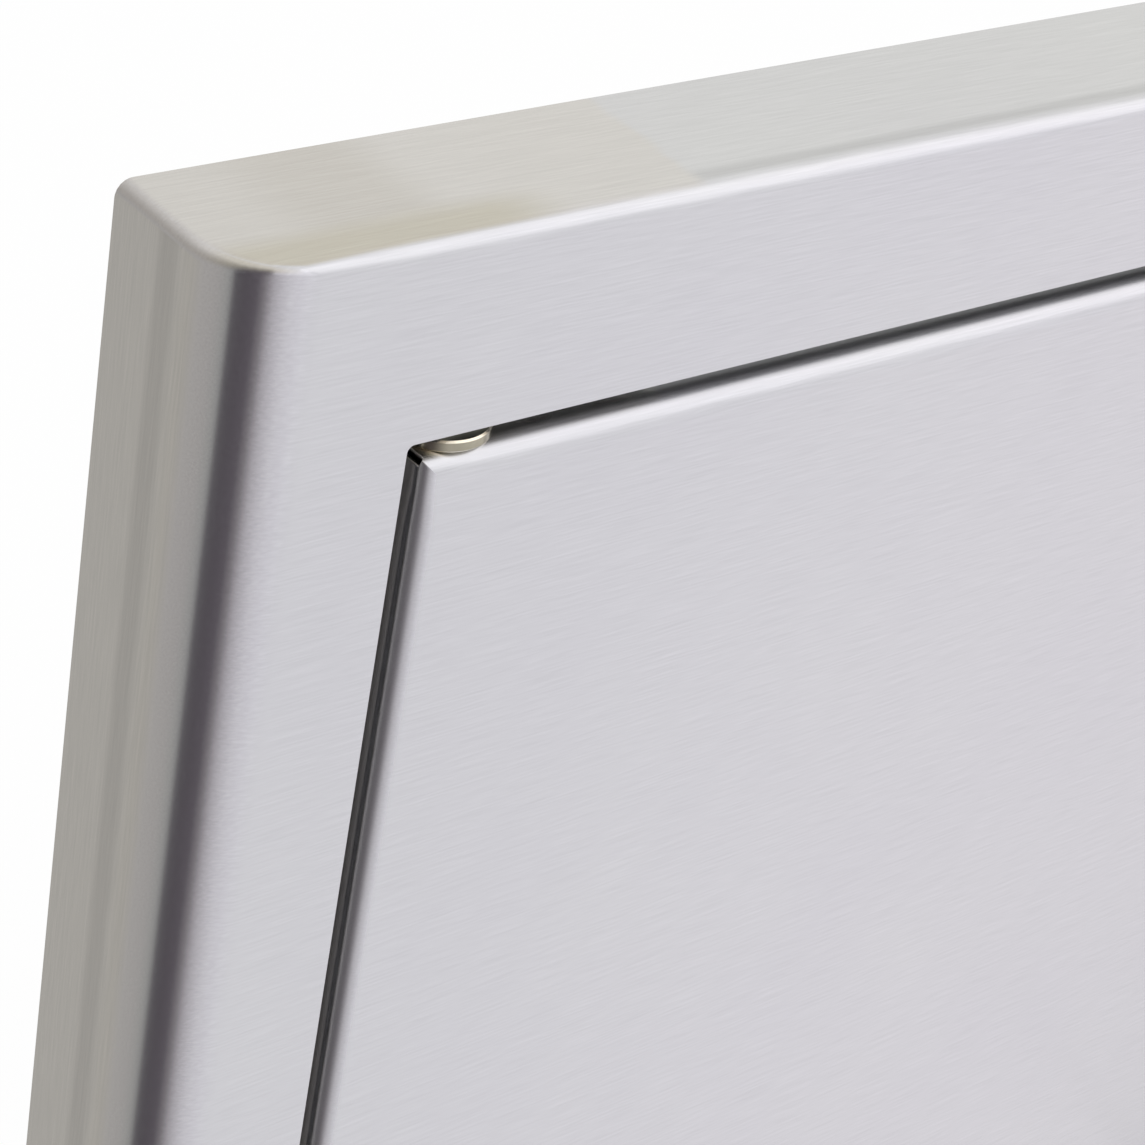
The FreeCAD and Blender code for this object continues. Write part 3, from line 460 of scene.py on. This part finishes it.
# How much of a surface's way points sideways or upwards: on the flat sides, on the flanges, on the weld between
# them and on the door's bent edges.
FLAT_SIDE = (0.93, 0.985)
FLANGE = (0.80, 0.97)
WELD_SIDEWAYS = (0.15, 0.5)
WELD_UPWARDS = (0.15, 0.6)
BENT_SIDEWAYS = (0.1, 0.35)
# The strokes' length, and their distances on the front and on the sides, a little coarser than the real grit so
# that they show.
STROKE = 14 * MM
STROKES_APART = 0.4 * MM
SIDE_STROKES_APART = 0.5 * MM
# How far the patch's edge wanders, and the size of its waves and of the metal's broad clouds.
WANDER = 6 * MM
WAVE = 11.111 * MM
CLOUD = 71.43 * MM


def brushed_stainless():
    """Sheet stainless with a belt-brushed grain along the width of the door. The grain blurs what the metal
    mirrors up and down but not along the strokes. The outer sides were brushed again upright, and the top near
    each corner was ground after welding, which leaves a warmer patch that ends in a soft line. Beside each fold on
    the top and bottom a darker band is painted shade: a faint line outside the patch and a darker olive inside it."""
    material, tree = new_material("brushed_stainless")
    coords = add(tree, "ShaderNodeTexCoord")
    place = coords.outputs["Object"]
    where = add(tree, "ShaderNodeSeparateXYZ", {"Vector": place})
    facing = add(tree, "ShaderNodeSeparateXYZ", {"Vector": coords.outputs["Normal"]})
    depth = where.outputs["Y"]
    from_middle, sideways, up_or_down = (
        add(tree, "ShaderNodeMath", {0: signed}, operation="ABSOLUTE")
        for signed in (where.outputs["X"], facing.outputs["X"], facing.outputs["Z"])
    )
    upright = share(tree, (sideways, *FLAT_SIDE))
    level = share(tree, (up_or_down, *FLANGE))

    level_strokes = strokes(tree, place, STROKE, STROKES_APART, "X")
    upright_strokes = strokes(tree, place, STROKE, SIDE_STROKES_APART, "Z")
    grain = add(tree, "ShaderNodeMix", {"Factor": upright, "A": level_strokes, "B": upright_strokes})

    # The warm ground patch on the top and bottom flanges, 94 mm long from each corner, and on the ground weld
    # between the flange and the side. It is deepest 30 to 45 mm from the corner, and beside the fold it turns a
    # darker olive, which is painted shade on the patch's warm tint.
    wander = add(tree, "ShaderNodeTexNoise", {"Vector": place, "Scale": 1 / WAVE, "Detail": 2.0})
    wandering = add(tree, "ShaderNodeMath", {0: wander, 1: WANDER, 2: from_middle}, operation="MULTIPLY_ADD")
    near_corner = share(tree, (wandering, *PATCH))
    weld = share(tree, (sideways, *WELD_SIDEWAYS), (up_or_down, *WELD_UPWARDS))
    on_flange = add(tree, "ShaderNodeMath", {0: level, 1: weld}, operation="MAXIMUM")
    ground = share(tree, near_corner, on_flange)
    deepest = share(tree, (from_middle, *DEEP_FROM), (from_middle, *DEEP_TO, DEEP_LEAST))
    # Beside the fold the patch turns a darker olive: painted shade.
    painted_olive_shade = share(tree, (depth, *PAINTED_OLIVE_BESIDE_FOLD), (from_middle, *PAINTED_OLIVE_FROM))

    # The faint upright line where the rounded side runs out into the flat one, and a painted shade line on the top
    # and bottom beside a fold, which is left off the ground patch.
    runs_out = share(tree, (depth, *RUN_OUT_FROM), (depth, *RUN_OUT_TO), upright)
    unground = add(tree, "ShaderNodeMath", {0: 1.0, 1: near_corner}, operation="SUBTRACT")
    # Painted shade: a darker line beside the fold, outside the ground patch.
    painted_fold_shade = share(tree, (depth, *FOLD_SHADE_FROM), (depth, *FOLD_SHADE_TO), level, unground)
    lines = add(tree, "ShaderNodeMath", {0: runs_out, 1: painted_fold_shade}, operation="MAXIMUM")
    run_out_and_fold_shade_lines = add(tree, "ShaderNodeMath", {0: lines, 1: FAINT}, operation="MULTIPLY")

    broad = add(tree, "ShaderNodeTexNoise", {"Vector": place, "Scale": 1 / CLOUD, "Detail": 3.0})
    light_tone = layered(tree, linear("D9D8DC"), (broad, linear("DDDDDE")))
    dark_tone = layered(tree, linear("C3C2C6"), (broad, linear("C7C7C8")))
    plain = layered(tree, dark_tone, (grain, light_tone))
    pale_warm = layered(tree, linear("C6C3C1"), (grain, linear("DCD9D7")))
    deep_warm = layered(tree, linear("BFBBB7"), (grain, linear("D3CFCB")))
    # The olive tone is the warm patch darkened by painted shade.
    painted_olive_tone = layered(tree, linear("BAB5AA"), (grain, linear("CFCABF")))
    side_tone = layered(tree, linear("C9C8C5"), (grain, linear("E2E0DC")))
    warm = layered(tree, pale_warm, (deepest, deep_warm), (painted_olive_shade, painted_olive_tone))
    # The thin black laid over the lines darkens the run-out line and paints the shade beside the fold.
    colour = layered(tree, plain, (ground, warm), (upright, side_tone), (run_out_and_fold_shade_lines, linear("000000")))

    # Folding stretched the outside of the door's bends, which left them rougher along the strokes too.
    door_edge = share(tree, (from_middle, *DOOR_EDGE_FROM), (from_middle, *DOOR_EDGE_TO))
    stretched = share(tree, door_edge, (sideways, *BENT_SIDEWAYS))
    roughness = add(tree, "ShaderNodeMapRange", {"Value": grain, "To Min": 0.20, "To Max": 0.25})
    roughness = add(tree, "ShaderNodeMix", {"Factor": stretched, "A": roughness, "B": 0.46})
    grooves = add(tree, "ShaderNodeBump", {"Height": grain, "Strength": 0.05, "Distance": 0.02 * MM})

    # The shader's tangent lies across the strokes, which is the way that they blur.
    along = add(
        tree,
        "ShaderNodeMix",
        {"Factor": upright, "A": Vector((1, 0, 0)), "B": Vector((0, 0, 1))},
        data_type="VECTOR",
    )
    along = add(
        tree,
        "ShaderNodeVectorTransform",
        {"Vector": along},
        vector_type="VECTOR",
        convert_from="OBJECT",
        convert_to="WORLD",
    )
    outward = add(tree, "ShaderNodeNewGeometry").outputs["Normal"]
    across = add(tree, "ShaderNodeVectorMath", {0: outward, 1: along}, operation="CROSS_PRODUCT")
    shader = add(
        tree,
        "ShaderNodeBsdfPrincipled",
        {
            "Base Color": colour,
            "Metallic": 1.0,
            "Roughness": roughness,
            "Anisotropic": 0.95,
            "Tangent": across,
            "Normal": grooves,
        },
    )
    add(tree, "ShaderNodeOutputMaterial", {"Surface": shader})
    return material


def fine_metal(name, dark, light, roughness, patch, stroke=None, spacing=None, axis="X", anisotropic=0.0):
    """A metal in two close tones, with patches of a real size and, where it was brushed or turned, strokes."""
    material, tree = new_material(name)
    place = add(tree, "ShaderNodeTexCoord").outputs["Object"]
    tone = add(tree, "ShaderNodeTexNoise", {"Vector": place, "Scale": 1 / patch, "Detail": 4.0})
    if stroke:
        turned = strokes(tree, place, stroke, spacing, axis)
        tone = add(tree, "ShaderNodeMix", {"Factor": 0.6, "A": tone, "B": turned})
    colour = layered(tree, linear(dark), (tone, linear(light)))
    rough = add(
        tree, "ShaderNodeMapRange", {"Value": tone, "To Min": roughness * 0.8, "To Max": roughness * 1.2}
    )
    relief = add(tree, "ShaderNodeBump", {"Height": tone, "Strength": 0.08, "Distance": 0.03 * MM})
    shader = add(
        tree,
        "ShaderNodeBsdfPrincipled",
        {
            "Base Color": colour,
            "Metallic": 1.0,
            "Roughness": rough,
            "Anisotropic": anisotropic,
            "Normal": relief,
        },
    )
    add(tree, "ShaderNodeOutputMaterial", {"Surface": shader})
    return material


def nickel_plate():
    """Bright nickel plating that has tarnished to a warm olive grey, with a painted highlight in pale cream on its
    chamfered edges.
    """
    material, tree = new_material("nickel_plate")
    coords = add(tree, "ShaderNodeTexCoord")
    facing = add(tree, "ShaderNodeSeparateXYZ", {"Vector": coords.outputs["Normal"]})
    up_or_down = add(tree, "ShaderNodeMath", {0: facing.outputs["Z"]}, operation="ABSOLUTE")
    # The chamfers, between level and upright, are where the highlight is painted.
    edge = share(tree, (up_or_down, 0.3, 0.6), (up_or_down, 0.95, 0.8))
    patches = add(
        tree, "ShaderNodeTexNoise", {"Vector": coords.outputs["Object"], "Scale": 1 / (3 * MM), "Detail": 4.0}
    )
    tarnish = layered(tree, linear("928E7D"), (patches, linear("BBB6A3")))
    # Painted highlight: pale cream over the tarnish on the chamfers.
    colour = layered(tree, tarnish, (edge, linear("F0E7D4")))
    rough = add(tree, "ShaderNodeMapRange", {"Value": patches, "To Min": 0.14, "To Max": 0.26})
    shader = add(tree, "ShaderNodeBsdfPrincipled", {"Base Color": colour, "Metallic": 1.0, "Roughness": rough})
    add(tree, "ShaderNodeOutputMaterial", {"Surface": shader})
    return material


def moulded(name, dark, light, roughness, texture, relief):
    """A moulded or pressed non-metal with a fine matt texture of a real size, in two tones 17 mm across."""
    material, tree = new_material(name)
    place = add(tree, "ShaderNodeTexCoord").outputs["Object"]
    grain = add(tree, "ShaderNodeTexNoise", {"Vector": place, "Scale": 1 / texture, "Detail": 2.0})
    broad = add(tree, "ShaderNodeTexNoise", {"Vector": place, "Scale": 1 / (16.67 * MM), "Detail": 2.0})
    colour = layered(tree, linear(dark), (broad, linear(light)))
    bump = add(tree, "ShaderNodeBump", {"Height": grain, "Strength": relief, "Distance": 0.05 * MM})
    shader = add(
        tree, "ShaderNodeBsdfPrincipled", {"Base Color": colour, "Roughness": roughness, "Normal": bump}
    )
    add(tree, "ShaderNodeOutputMaterial", {"Surface": shader})
    return material


FINISHES = {
    "brushed_stainless": brushed_stainless(),
    # Cold-rolled sheet as it leaves the mill: dull, with a faint rolling grain.
    "mill_stainless": fine_metal("mill_stainless", "B0B1B3", "C2C3C5", 0.36, 25 * MM, 30 * MM, 0.8 * MM, "Z", 0.3),
    # Bar stock with a satin turned round it: a soft streak of light along the bar.
    "handle_stainless": fine_metal(
        "handle_stainless", "BDBCC0", "D0CFD3", 0.27, 20 * MM, 40 * MM, 0.35 * MM, "Y", 0.4
    ),
    # Zinc plating: bluish, with a cloudy bloom.
    "zinc_steel": fine_metal("zinc_steel", "9FA5AC", "C3C7C9", 0.38, 4 * MM),
    # Turned stainless: bright, in fine patches of two close tones.
    "machined_stainless": fine_metal("machined_stainless", "B4B4B6", "CFCFD0", 0.22, 2 * MM),
    "nickel_plate": nickel_plate(),
    # Bare mild steel: a flat, darker grey.
    "pole_steel": fine_metal("pole_steel", "7F8083", "97989A", 0.42, 2 * MM),
    # Nylon: milky white and waxy.
    "bush_nylon": moulded("bush_nylon", "DEDACE", "E9E6DC", 0.42, 0.6 * MM, 0.1),
    # ABS: near black with a spark-eroded mould texture.
    "catch_plastic": moulded("catch_plastic", "2A2A2C", "343436", 0.48, 0.35 * MM, 0.25),
    # Sintered ferrite: near black and dull.
    "ferrite": moulded("ferrite", "262628", "303032", 0.62, 0.25 * MM, 0.3),
    # Black rubber with a dry bloom.
    "black_rubber": moulded("black_rubber", "1B1B1C", "262627", 0.68, 0.4 * MM, 0.3),
}

# Every carried-over solid swaps the plain colour that it comes with for the finish of the same slot.
for node in nodes.values():
    node.data.materials[0] = FINISHES[SLOT_OF_NODE[node.name]]


# The front frame

frame_low, frame_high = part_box("bezel")
# The width of the face, the sheet, the bends of the sides, of the top and bottom and of the back edge, and how far
# the sheet turns in at the back.
FACE_WIDTH = 38.1 * MM
SHEET = 1.2 * MM
SIDE_BEND = 16.5 * MM
TOP_FOLD = 3.5 * MM
BACK_BEND = 0.3 * MM
LIP = 12 * MM
# The fold at the corner, and how far along it until it has opened to its full radius.
TIGHT_FOLD = 2.2 * MM
TIGHT_FOLD_LENGTH = 24 * MM
# How far the weld between the top flange and the rounded side was ground round: at the fold, along the seam and
# at the back, and over what length one becomes the other.
FOLD_CORNER = 1.6 * MM
SEAM = 2.8 * MM
BACK_CORNER = 3.2 * MM
FOLD_CORNER_LENGTH = 9 * MM
BACK_CORNER_LENGTH = 11 * MM
OPENING_CORNER = 1.3 * MM
BROKEN = 0.25 * MM

bezel = Box(
    frame_low, frame_high, SIDE_BEND, TOP_FOLD, BACK_BEND, Tight(SIDE_BEND, TIGHT_FOLD, TIGHT_FOLD_LENGTH)
)
opening_x = bezel.half_x - FACE_WIDTH
opening_z = bezel.half_z - FACE_WIDTH


def ground_corner(depth):
    """The radius of the ground corner at a depth behind the face, and how fast it grows there."""
    front = min(1, max(0, 1 - (depth - bezel.fold_bend) / FOLD_CORNER_LENGTH))
    back = max(0, 1 - (bezel.reach - bezel.back_bend - depth) / BACK_CORNER_LENGTH)
    radius = SEAM + (FOLD_CORNER - SEAM) * front**2 + (BACK_CORNER - SEAM) * back**2
    growth = 2 * (BACK_CORNER - SEAM) * back / BACK_CORNER_LENGTH
    if front < 1:
        growth -= 2 * (FOLD_CORNER - SEAM) * front / FOLD_CORNER_LENGTH
    return radius, growth


def make_bezel():
    skin = Skin()
    outside = []
    outer_lines = []
    for depth in bezel.depths(FOLD_CORNER):
        radius, growth = ground_corner(depth)
        outside.append(bezel.ring(depth, radius, radius, 1, growth))
        outer_lines.append([bezel.side_line(side, depth, radius, radius, 1) for side in range(4)])
    for ring in bezel.back_rings(BACK_CORNER):
        outside.append(ring)
        lines = []
        for side, line in enumerate(outer_lines[-1]):
            end, way = ring[side][-1][-1]
            if side % 2 == 0:
                lines.append([(Vector((at.x, end.y, end.z)), way) for at, _ in line])
            else:
                lines.append([(Vector((end.x, end.y, at.z)), way) for at, _ in line])
        outer_lines.append(lines)
    inside = []
    inner_lines = []
    inner_back = bezel.reach - SHEET
    for depth in [depth for depth in bezel.depths(SHEET) if depth < inner_back] + [inner_back]:
        inside.append(bezel.ring(depth, SHEET, 0, -1))
        inner_lines.append([bezel.side_line(side, depth, SHEET, 0, -1) for side in range(4)])
    lip_x = bezel.half_x - LIP
    lip_z = bezel.half_z - LIP
    for rings, lines, outward in ((outside, outer_lines, 1), (inside, inner_lines, -1)):
        bezel.wrap(skin, rings, lines)
        for end, half_x, half_z, way in ((0, opening_x, opening_z, FRONT), (-1, lip_x, lip_z, REAR)):
            y = rings[end][0][0][0][0].y
            inner = rounded_line(half_x + BROKEN, half_z + BROKEN, OPENING_CORNER + BROKEN, y)
            flat_frame(skin, rings[end], lines[end], inner, way * outward)
    face = bezel.face
    back = bezel.face + bezel.reach
    raw_edge(skin, opening_x, opening_z, OPENING_CORNER, face, face + SHEET, BROKEN)
    raw_edge(skin, lip_x, lip_z, OPENING_CORNER, back, back - SHEET, BROKEN)
    skin.piece("front_frame_sheet", FINISHES["brushed_stainless"], "brushed_stainless", "frame", "bezel")


make_bezel()


# The door's front pan

door_low, door_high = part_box("door_skin")
bush_low, bush_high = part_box("upper_bush")
# Where the bushes sit, and the radius of their holes in the pan.
PIVOT = Vector(((bush_low.x + bush_high.x) / 2, (bush_low.y + bush_high.y) / 2, 0))
BUSH_RADIUS = 4.8 * MM
DOOR_SIDE_BEND = 4.6 * MM
DOOR_FOLD = 5.0 * MM
DOOR_TIGHT = Tight(3.4 * MM, 3.3 * MM, 13 * MM)
CORNER_SOFT = 0.3 * MM
# The slot starts this far behind the face, and the upright flange ends this far below the corner and the level one
# this far beside it.
SLOT_START = 1.8 * MM
SLOT_BELOW = 0.82 * MM
SLOT_BESIDE = 0.05 * MM
SLOT_LIP = 0.26 * MM

door_slot = Slot(SLOT_START, SLOT_BELOW, SLOT_BESIDE, SLOT_LIP)
door = Box(door_low, door_high, DOOR_SIDE_BEND, DOOR_FOLD, 0, DOOR_TIGHT, door_slot)


def make_door_pan():
    skin = Skin()
    depths = apart(door.depths(CORNER_SOFT) + door.depths(SHEET))
    shells = []
    for inset, soften, outward in ((CORNER_SOFT, CORNER_SOFT, 1), (SHEET, 0, -1)):
        # Each ring with whether the slot cuts its corners: where the slot starts there is one of each kind.
        stations = [(depth, False) for depth in depths if inset - TOUCH <= depth < SLOT_START - SAME_DEPTH]
        stations += [(SLOT_START, False), (SLOT_START, True)]
        stations += [(depth, True) for depth in depths if depth > SLOT_START + SAME_DEPTH]
        rings = [door.ring(depth, inset, soften, outward, cut=cut) for depth, cut in stations]
        lines = [
            [door.side_line(side, depth, inset, soften, outward) for side in range(4)] for depth, _ in stations
        ]
        first_flat = next(i for i, (depth, _) in enumerate(stations) if depth > DOOR_FOLD - TOUCH)

        def holed(side, number):
            return side in (0, 2) and number >= first_flat

        door.wrap(skin, rings, lines, holed)
        outline = [place for i in range(4) for run in [*rings[0][i], lines[0][i]] for place, _ in run]
        skin.face([(place, FRONT * outward) for place in outline])
        holes = []
        for side, sz in ((0, 1), (2, -1)):
            k = (side + 1) % 4
            front, back = (
                [rings[n][side][-1][-1][0], *(place for place, _ in lines[n][side]), rings[n][k][0][0][0]]
                for n in (first_flat, -1)
            )
            starts = [ring[side][-1][-1][0] for ring in rings[first_flat:]]
            ends = [ring[k][0][0][0] for ring in rings[first_flat:]]
            way = Vector((0, 0, sz * outward))
            holes.append(flat_with_hole(skin, front, back, starts, ends, PIVOT, BUSH_RADIUS, way))
        slotted = [ring for ring, (_, cut) in zip(rings, stations) if cut]
        closed = next(ring for ring, (depth, _) in zip(rings, stations) if depth == SLOT_START)
        shells.append((slotted, closed, lines[-1], holes))

    # The cut ends of the flanges at the slots, the front end of each slot, and the cut edge at the back.
    (outer, outer_closed, outer_back, outer_holes), (inner, inner_closed, inner_back, inner_holes) = shells
    for i in range(4):
        for run, end in ((0, -1), (-1, 0)):
            walls = [ring[i][run][end] for ring in outer]
            skin.rows([walls, [(ring[i][run][end][0], way) for ring, (_, way) in zip(inner, walls)]])
        skin.face([(place, REAR) for place, _ in outer_closed[i][0]] + [(inner_closed[i][0][0][0], REAR)])
        k = (i + 1) % 4
        rim, inside = (
            [place for run in (last[i][-1], back[i], last[k][0]) for place, _ in run]
            for last, back in ((outer[-1], outer_back), (inner[-1], inner_back))
        )
        skin.face([(place, REAR) for place in rim + inside[::-1]])
    for hole in zip(outer_holes, inner_holes):
        walls = [[(place, Vector((PIVOT.x, PIVOT.y, place.z)) - place) for place in line] for line in hole]
        skin.rows(walls, closed=True)
    skin.piece("door_pan_sheet", FINISHES["brushed_stainless"], "brushed_stainless", "door", "door_skin")


make_door_pan()


# The studio

FLOOR = frame_low.z
FLOOR_HALF = 8.0
FLOOR_WHITE = 0.93
BEND = Vector((-bezel.half_x + SIDE_BEND, bezel.face + SIDE_BEND, FLOOR))


def put(name, places, faces, material):
    """An object of the studio with one material."""
    mesh = bpy.data.meshes.new(name)
    mesh.from_pydata(places, [], faces)
    mesh.materials.append(material)
    made = bpy.data.objects.new(name, mesh)
    bpy.context.scene.collection.objects.link(made)
    return made


def only_mirrored(card):
    """Leaves a card to the metal's reflections alone."""
    card.visible_camera = False
    card.visible_diffuse = False
    card.visible_transmission = False
    card.visible_volume_scatter = False
    card.visible_shadow = False


def seen(tree):
    """1 where the background itself is seen: by the camera, in metal or through glass."""
    path = add(tree, "ShaderNodeLightPath")
    either = add(
        tree,
        "ShaderNodeMath",
        {0: path.outputs["Is Camera Ray"], 1: path.outputs["Is Glossy Ray"]},
        operation="MAXIMUM",
    )
    return add(
        tree, "ShaderNodeMath", {0: either, 1: path.outputs["Is Transmission Ray"]}, operation="MAXIMUM"
    )


def white_floor():
    """Matt paper, nearly white to the camera and to the metal, that keeps the object's shadow."""
    material, tree = new_material("studio_floor")
    paper = add(tree, "ShaderNodeBsdfDiffuse", {"Color": linear("FFFFFF")})
    glow = add(tree, "ShaderNodeEmission", {"Color": linear("FFFFFF"), "Strength": 1.0})
    part = add(tree, "ShaderNodeMath", {0: seen(tree), 1: FLOOR_WHITE}, operation="MULTIPLY")
    blend = add(tree, "ShaderNodeMixShader", {0: part, 1: paper, 2: glow})
    add(tree, "ShaderNodeOutputMaterial", {"Surface": blend})
    return material


def make_floor():
    places = [(sx * FLOOR_HALF, sz * FLOOR_HALF, FLOOR) for sx, sz in reversed(CORNERS)]
    floor = put("studio_floor", places, [(0, 1, 2, 3)], white_floor())


make_floor()

# What stands round the table, by its bearing in degrees from +X: cream wall behind and to the right, grey wall,
# dark stand, pale wall. The walls grow paler between two heights.
BEARING_STEP = 0.5
FADE_START = 1.2
FADE_END = 3.4
FADE_STEPS = 6
GLOW = 1.05
SURROUNDINGS = (
    (0, "F7F6F4"),
    (30, "F7F7F2"),
    (60, "F7F7F2"),
    (70, "EFEEEA"),
    (94, "CDCBC8"),
    (126, "BDBBB8"),
    (166, "BEBBB6"),
    (186, "B8B5B1"),
    (197, "ADADA9"),
    (201, "A0A09E"),
    (204.5, "605C60"),
    (217, "5D585D"),
    (230, "666066"),
    (239.5, "8F8A8D"),
    (248.5, "BFBBBF"),
    (258, "D5D2D6"),
    (267, "E5E3E7"),
    (277, "EBE9EE"),
    (288, "F2F1F5"),
    (305, "F4F4F6"),
    (318, "F9F8FC"),
    (330, "FEFBFF"),
    (345, "FBF9FB"),
    (360, "F7F6F4"),
)
# The card lies on the table, curves up and then stands upright: its distances from the frame's corner and its
# heights.
WALL = 1.6
CARD_PROFILE = ((0.03, 0.002), (0.4, 0.002), (1.0, 0.002), (1.3, 0.04), (1.5, 0.2), (WALL, 0.6))
# A long light on the pale wall: its bearings with soft ends, its heights and how much it adds.
LIGHT_START = 238
LIGHT_END = 294
LIGHT_SOFT = 8
LIGHT_LOW = 0.6
LIGHT_HIGH = 2.3
LIGHT_GLOW = 0.3


def wall_colour(bearing):
    """The colour at a bearing, between the two that are given on either side of it."""
    for (a, low), (b, high) in zip(SURROUNDINGS, SURROUNDINGS[1:]):
        if a <= bearing <= b:
            part = (bearing - a) / (b - a)
            return [x + (y - x) * part for x, y in zip(linear(low), linear(high))]


def make_surroundings():
    """A curved card, seen only in the metal, that gives the rounded side its grey and its dark band."""
    outline = list(CARD_PROFILE)
    outline += [(WALL, FADE_START + (FADE_END - FADE_START) * step / FADE_STEPS) for step in range(FADE_STEPS + 1)]
    first = SURROUNDINGS[0][0]
    last = SURROUNDINGS[-1][0]
    bearings = [first + BEARING_STEP * i for i in range(round((last - first) / BEARING_STEP) + 1)]
    places = []
    shades = []
    for bearing in bearings:
        at = math.radians(bearing)
        shade = wall_colour(bearing)
        ends = [min(1, max(0, off / LIGHT_SOFT)) for off in (bearing - LIGHT_START, LIGHT_END - bearing)]
        for radius, height in outline:
            light = LIGHT_GLOW / GLOW * ends[0] * ends[1] if LIGHT_LOW <= height <= LIGHT_HIGH else 0
            places.append((radius * math.cos(at), radius * math.sin(at), height))
            fade = max(0, (height - FADE_START) / (FADE_END - FADE_START))
            shades.append([c + (1 / GLOW - c) * fade + light for c in shade])
    across = len(outline)
    faces = []
    for i in range(len(bearings) - 1):
        for k in range(across - 1):
            a = i * across + k
            faces.append((a, a + 1, a + across + 1, a + across))
    material, tree = new_material("surroundings")
    painted = add(tree, "ShaderNodeVertexColor", layer_name="shade")
    glow = add(tree, "ShaderNodeEmission", {"Color": painted.outputs["Color"], "Strength": GLOW})
    add(tree, "ShaderNodeOutputMaterial", {"Surface": glow})
    card = put("surroundings", places, faces, material)
    shade_of = card.data.color_attributes.new("shade", "FLOAT_COLOR", "POINT")
    for i, shade in enumerate(shades):
        shade_of.data[i].color = shade
    card.location = BEND
    only_mirrored(card)


make_surroundings()

SLEEVE_STEP = 3 * MM
SHADE_DEPTH = 6.5 * MM
SHADE_CLEAR = 0.1 * MM


def make_gap_shade():
    """Black cards in the gaps beside the door's upright edges, deeper than the eye reaches: they keep these gaps
    as dark as the inside of an island. Only reflections see them."""
    material, tree = new_material("gap_shade")
    black = add(tree, "ShaderNodeBsdfDiffuse", {"Color": linear("0A0A0A")})
    add(tree, "ShaderNodeOutputMaterial", {"Surface": black})
    y = bezel.face + SHADE_DEPTH
    for name, sx in (("gap_shade_left", -1), ("gap_shade_right", 1)):
        near = sx * (door.half_x + SHADE_CLEAR)
        far = sx * (opening_x + SLEEVE_STEP)
        places = [(near, y, -door.half_z), (far, y, -door.half_z), (far, y, door.half_z), (near, y, door.half_z)]
        card = put(name, places, [(0, 1, 2, 3)], material)
        only_mirrored(card)


make_gap_shade()


def make_world():
    """A plain white room, a little dimmer to what is lit by it than to what shows it."""
    world = bpy.data.worlds.new("studio")
    world.use_nodes = True
    tree = world.node_tree
    tree.nodes.clear()
    strength = add(tree, "ShaderNodeMapRange", {"Value": seen(tree), "To Min": 0.9, "To Max": 1.0})
    sky = add(tree, "ShaderNodeBackground", {"Color": linear("FFFFFF"), "Strength": strength})
    add(tree, "ShaderNodeOutputWorld", {"Surface": sky})
    bpy.context.scene.world = world


make_world()


def make_lamp(name, place, target, size, power):
    """A square softbox that looks at a point."""
    light = bpy.data.lights.new(name, "AREA")
    light.shape = "SQUARE"
    light.size = size
    light.energy = power
    lamp = bpy.data.objects.new(name, light)
    lamp.location = place
    lamp.rotation_euler = (Vector(target) - Vector(place)).to_track_quat("-Z", "Y").to_euler()
    bpy.context.scene.collection.objects.link(lamp)


# The softbox stands to the right in front of the door and looks at its top left corner. Its size is in metres and
# its power in watts.
SOFTBOX_PLACE = (0.82, -0.92, 1.01)
SOFTBOX_TARGET = (-0.2, 0, 0.34)
SOFTBOX_SIZE = 1.7
SOFTBOX_POWER = 3.6

make_lamp("softbox_right", SOFTBOX_PLACE, SOFTBOX_TARGET, SOFTBOX_SIZE, SOFTBOX_POWER)


# The camera, close to the left top corner and looking down at it: angles in degrees, lens and sensor in mm.
CAMERA_PLACE = (-0.5017, -0.3815, 0.5684)
CAMERA_HEADING = 43.48
CAMERA_TILT = -32.18
CAMERA_ROLL = 10.93
CAMERA_LENS = 99.17
CAMERA_SENSOR = 36
CAMERA_NEAR = 10 * MM


def make_camera():
    data = bpy.data.cameras.new("camera")
    data.lens = CAMERA_LENS
    data.sensor_width = CAMERA_SENSOR
    data.clip_start = CAMERA_NEAR
    camera = bpy.data.objects.new("camera", data)
    turn = (
        Matrix.Rotation(math.radians(-CAMERA_HEADING), 4, "Z")
        @ Matrix.Rotation(math.radians(90 + CAMERA_TILT), 4, "X")
        @ Matrix.Rotation(math.radians(CAMERA_ROLL), 4, "Z")
    )
    camera.matrix_world = Matrix.Translation(CAMERA_PLACE) @ turn
    bpy.context.scene.collection.objects.link(camera)
    bpy.context.scene.camera = camera


make_camera()
bpy.context.scene.view_settings.view_transform = "Standard"
